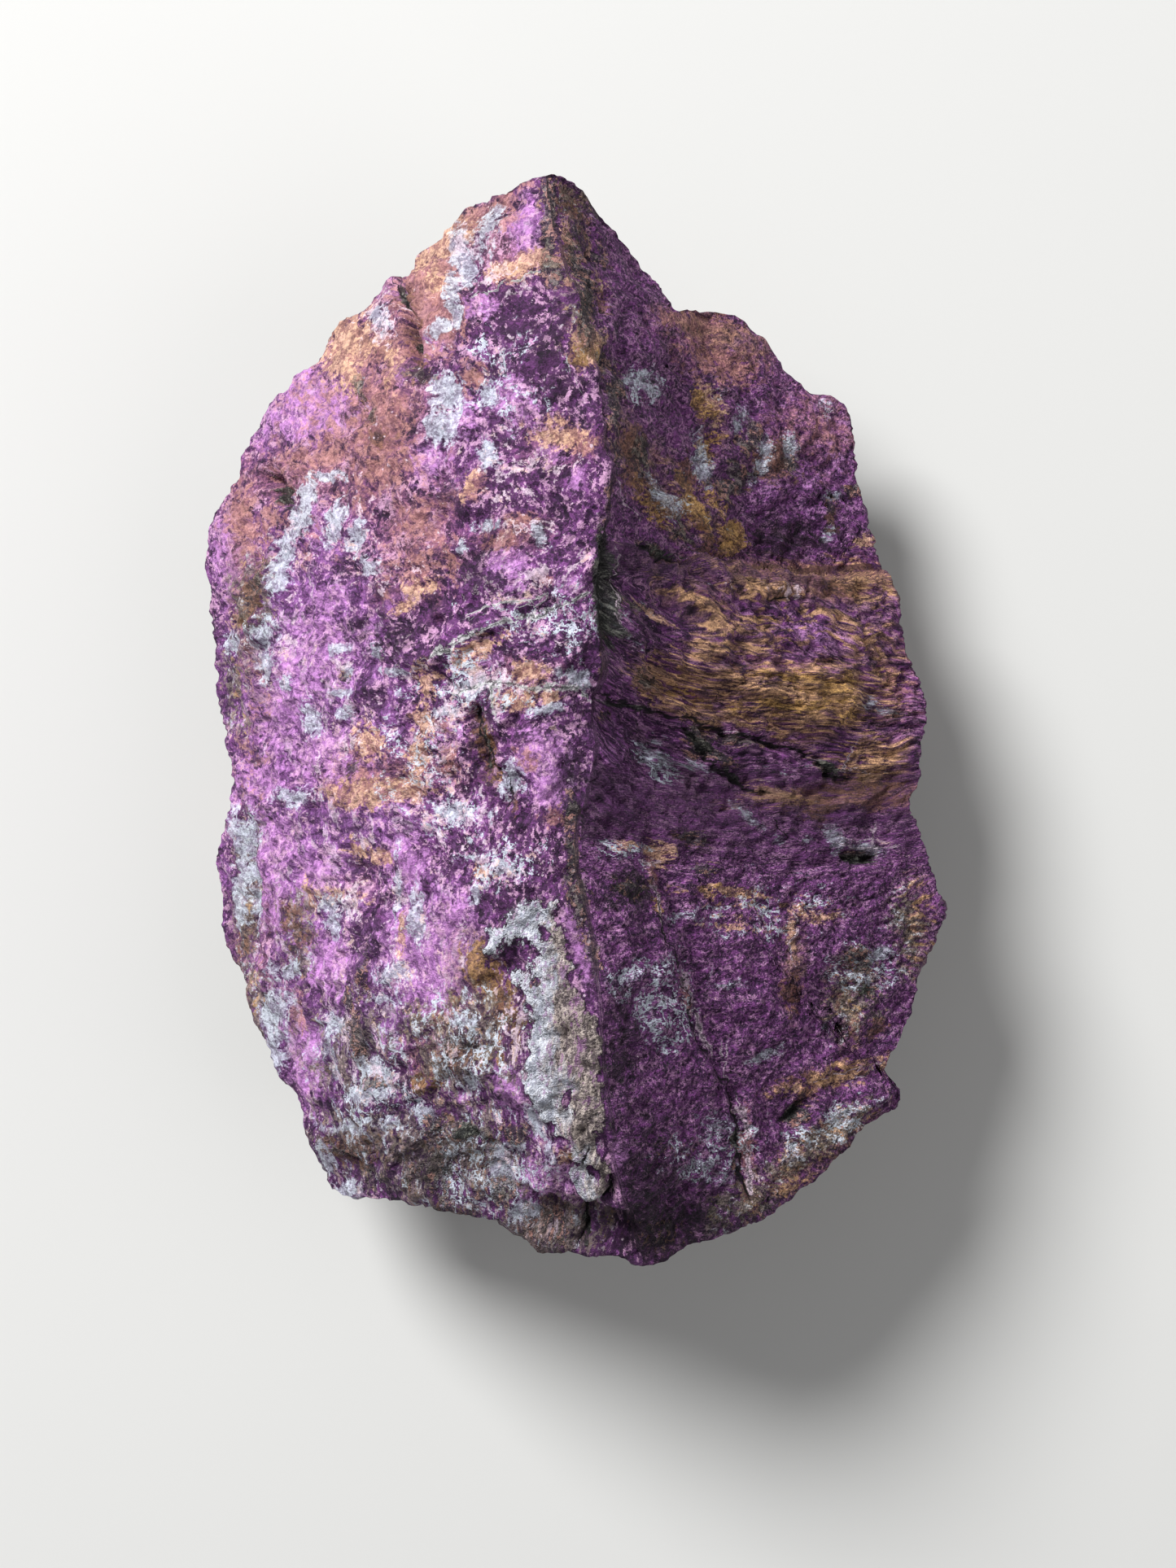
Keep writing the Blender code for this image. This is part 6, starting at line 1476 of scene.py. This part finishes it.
def makeStone():
    # the stone as one mesh: built, carved, fitted, and given its fields and its material
    points, down, rim, faces = buildStone()
    mesh = makeMesh("purpurite_surface", points, faces)
    carved, worked, fields = carve(points, meshNormals(mesh), down, rim)
    mesh.vertices.foreach_set("co", (fitToSolid(carved) * mm).astype(np.float32).ravel())
    mesh.update()
    for name, values in fields.items():
        addNumbers(mesh, name, values)
    for i, kind in enumerate(stainsAndShade):
        addNumbers(mesh, "stain_" + kind, stainAndShadeField(points, worked, stainsAndShade[kind], 400 + 10 * i))
    mesh.shade_smooth()
    mesh.materials.append(makeStoneMaterial())
    stone = bpy.data.objects.new("purpurite_surface", mesh)
    bpy.context.scene.collection.objects.link(stone)
    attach(stone, "root")
    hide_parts("purpurite_stone")
    print("stage: stone finished,", sum(len(group) * (group.shape[1] - 2) for group in faces), "triangles")


studio = {
    "floorHalf": 0.9,
    "floorColour": (206, 206, 204),
    "floorRoughness": 0.8,
    # soft lamps: place in metres, size, power
    "lamps": {
        "key": ((-0.26, 0.3, 0.38), 0.26, 4.75),
        "fill": ((0.42, -0.12, 0.34), 0.5, 0.7),
    },
    "sky": (0.98, 0.98, 1.0),
    "skyStrength": 0.22,
}


def makeFloor():
    # one large square of matt paper at the height that the stone rests on
    half = studio["floorHalf"]
    mesh = bpy.data.meshes.new("floor")
    corners = [(-half, -half, 0), (half, -half, 0), (half, half, 0), (-half, half, 0)]
    mesh.from_pydata(corners, [], [(0, 1, 2, 3)])
    floor = bpy.data.objects.new("floor", mesh)
    bpy.context.scene.collection.objects.link(floor)
    bench = Bench("floor_paper")
    colour = paint(*studio["floorColour"])
    mesh.materials.append(bench.finish(Base_Color=colour, Roughness=studio["floorRoughness"]))


def addLamp(name, place, size, power):
    # a round area lamp turned so that it faces the stone
    lamp = bpy.data.lights.new(name, "AREA")
    lamp.shape = "DISK"
    lamp.size = size
    lamp.energy = power
    holder = bpy.data.objects.new(name, lamp)
    x, y, z = place
    holder.location = place
    tilt = math.acos(z / math.sqrt(x * x + y * y + z * z))
    holder.rotation_euler = (tilt, 0.0, math.atan2(y, x) + math.pi / 2)
    bpy.context.scene.collection.objects.link(holder)


def makeSky():
    # a weak even light from every side, and colours shown as they are
    world = bpy.data.worlds.new("soft_room")
    world.use_nodes = True
    background = world.node_tree.nodes["Background"]
    background.inputs["Color"].default_value = (*studio["sky"], 1.0)
    background.inputs["Strength"].default_value = studio["skyStrength"]
    bpy.context.scene.world = world
    bpy.context.scene.view_settings.view_transform = "Standard"


# straight above the stone, its pointed end up in the picture; the long side of the sensor is 36 mm
cameraView = {"place": (0.8, -3.1, 226.0), "lens": 89.67, "sensor": 36.0, "nearest": 10.0}


def makeCamera():
    camera = bpy.data.cameras.new("above")
    camera.lens = cameraView["lens"]
    camera.sensor_width = cameraView["sensor"]
    camera.clip_start = cameraView["nearest"] * mm
    holder = bpy.data.objects.new("above", camera)
    holder.location = tuple(v * mm for v in cameraView["place"])
    bpy.context.scene.collection.objects.link(holder)
    bpy.context.scene.camera = holder


makeStone()
makeFloor()
for lampName, (lampPlace, lampSize, lampPower) in studio["lamps"].items():
    addLamp(lampName, lampPlace, lampSize, lampPower)
makeSky()
makeCamera()
print("stage: floor, light and camera set")

bpy.context.view_layer.update()
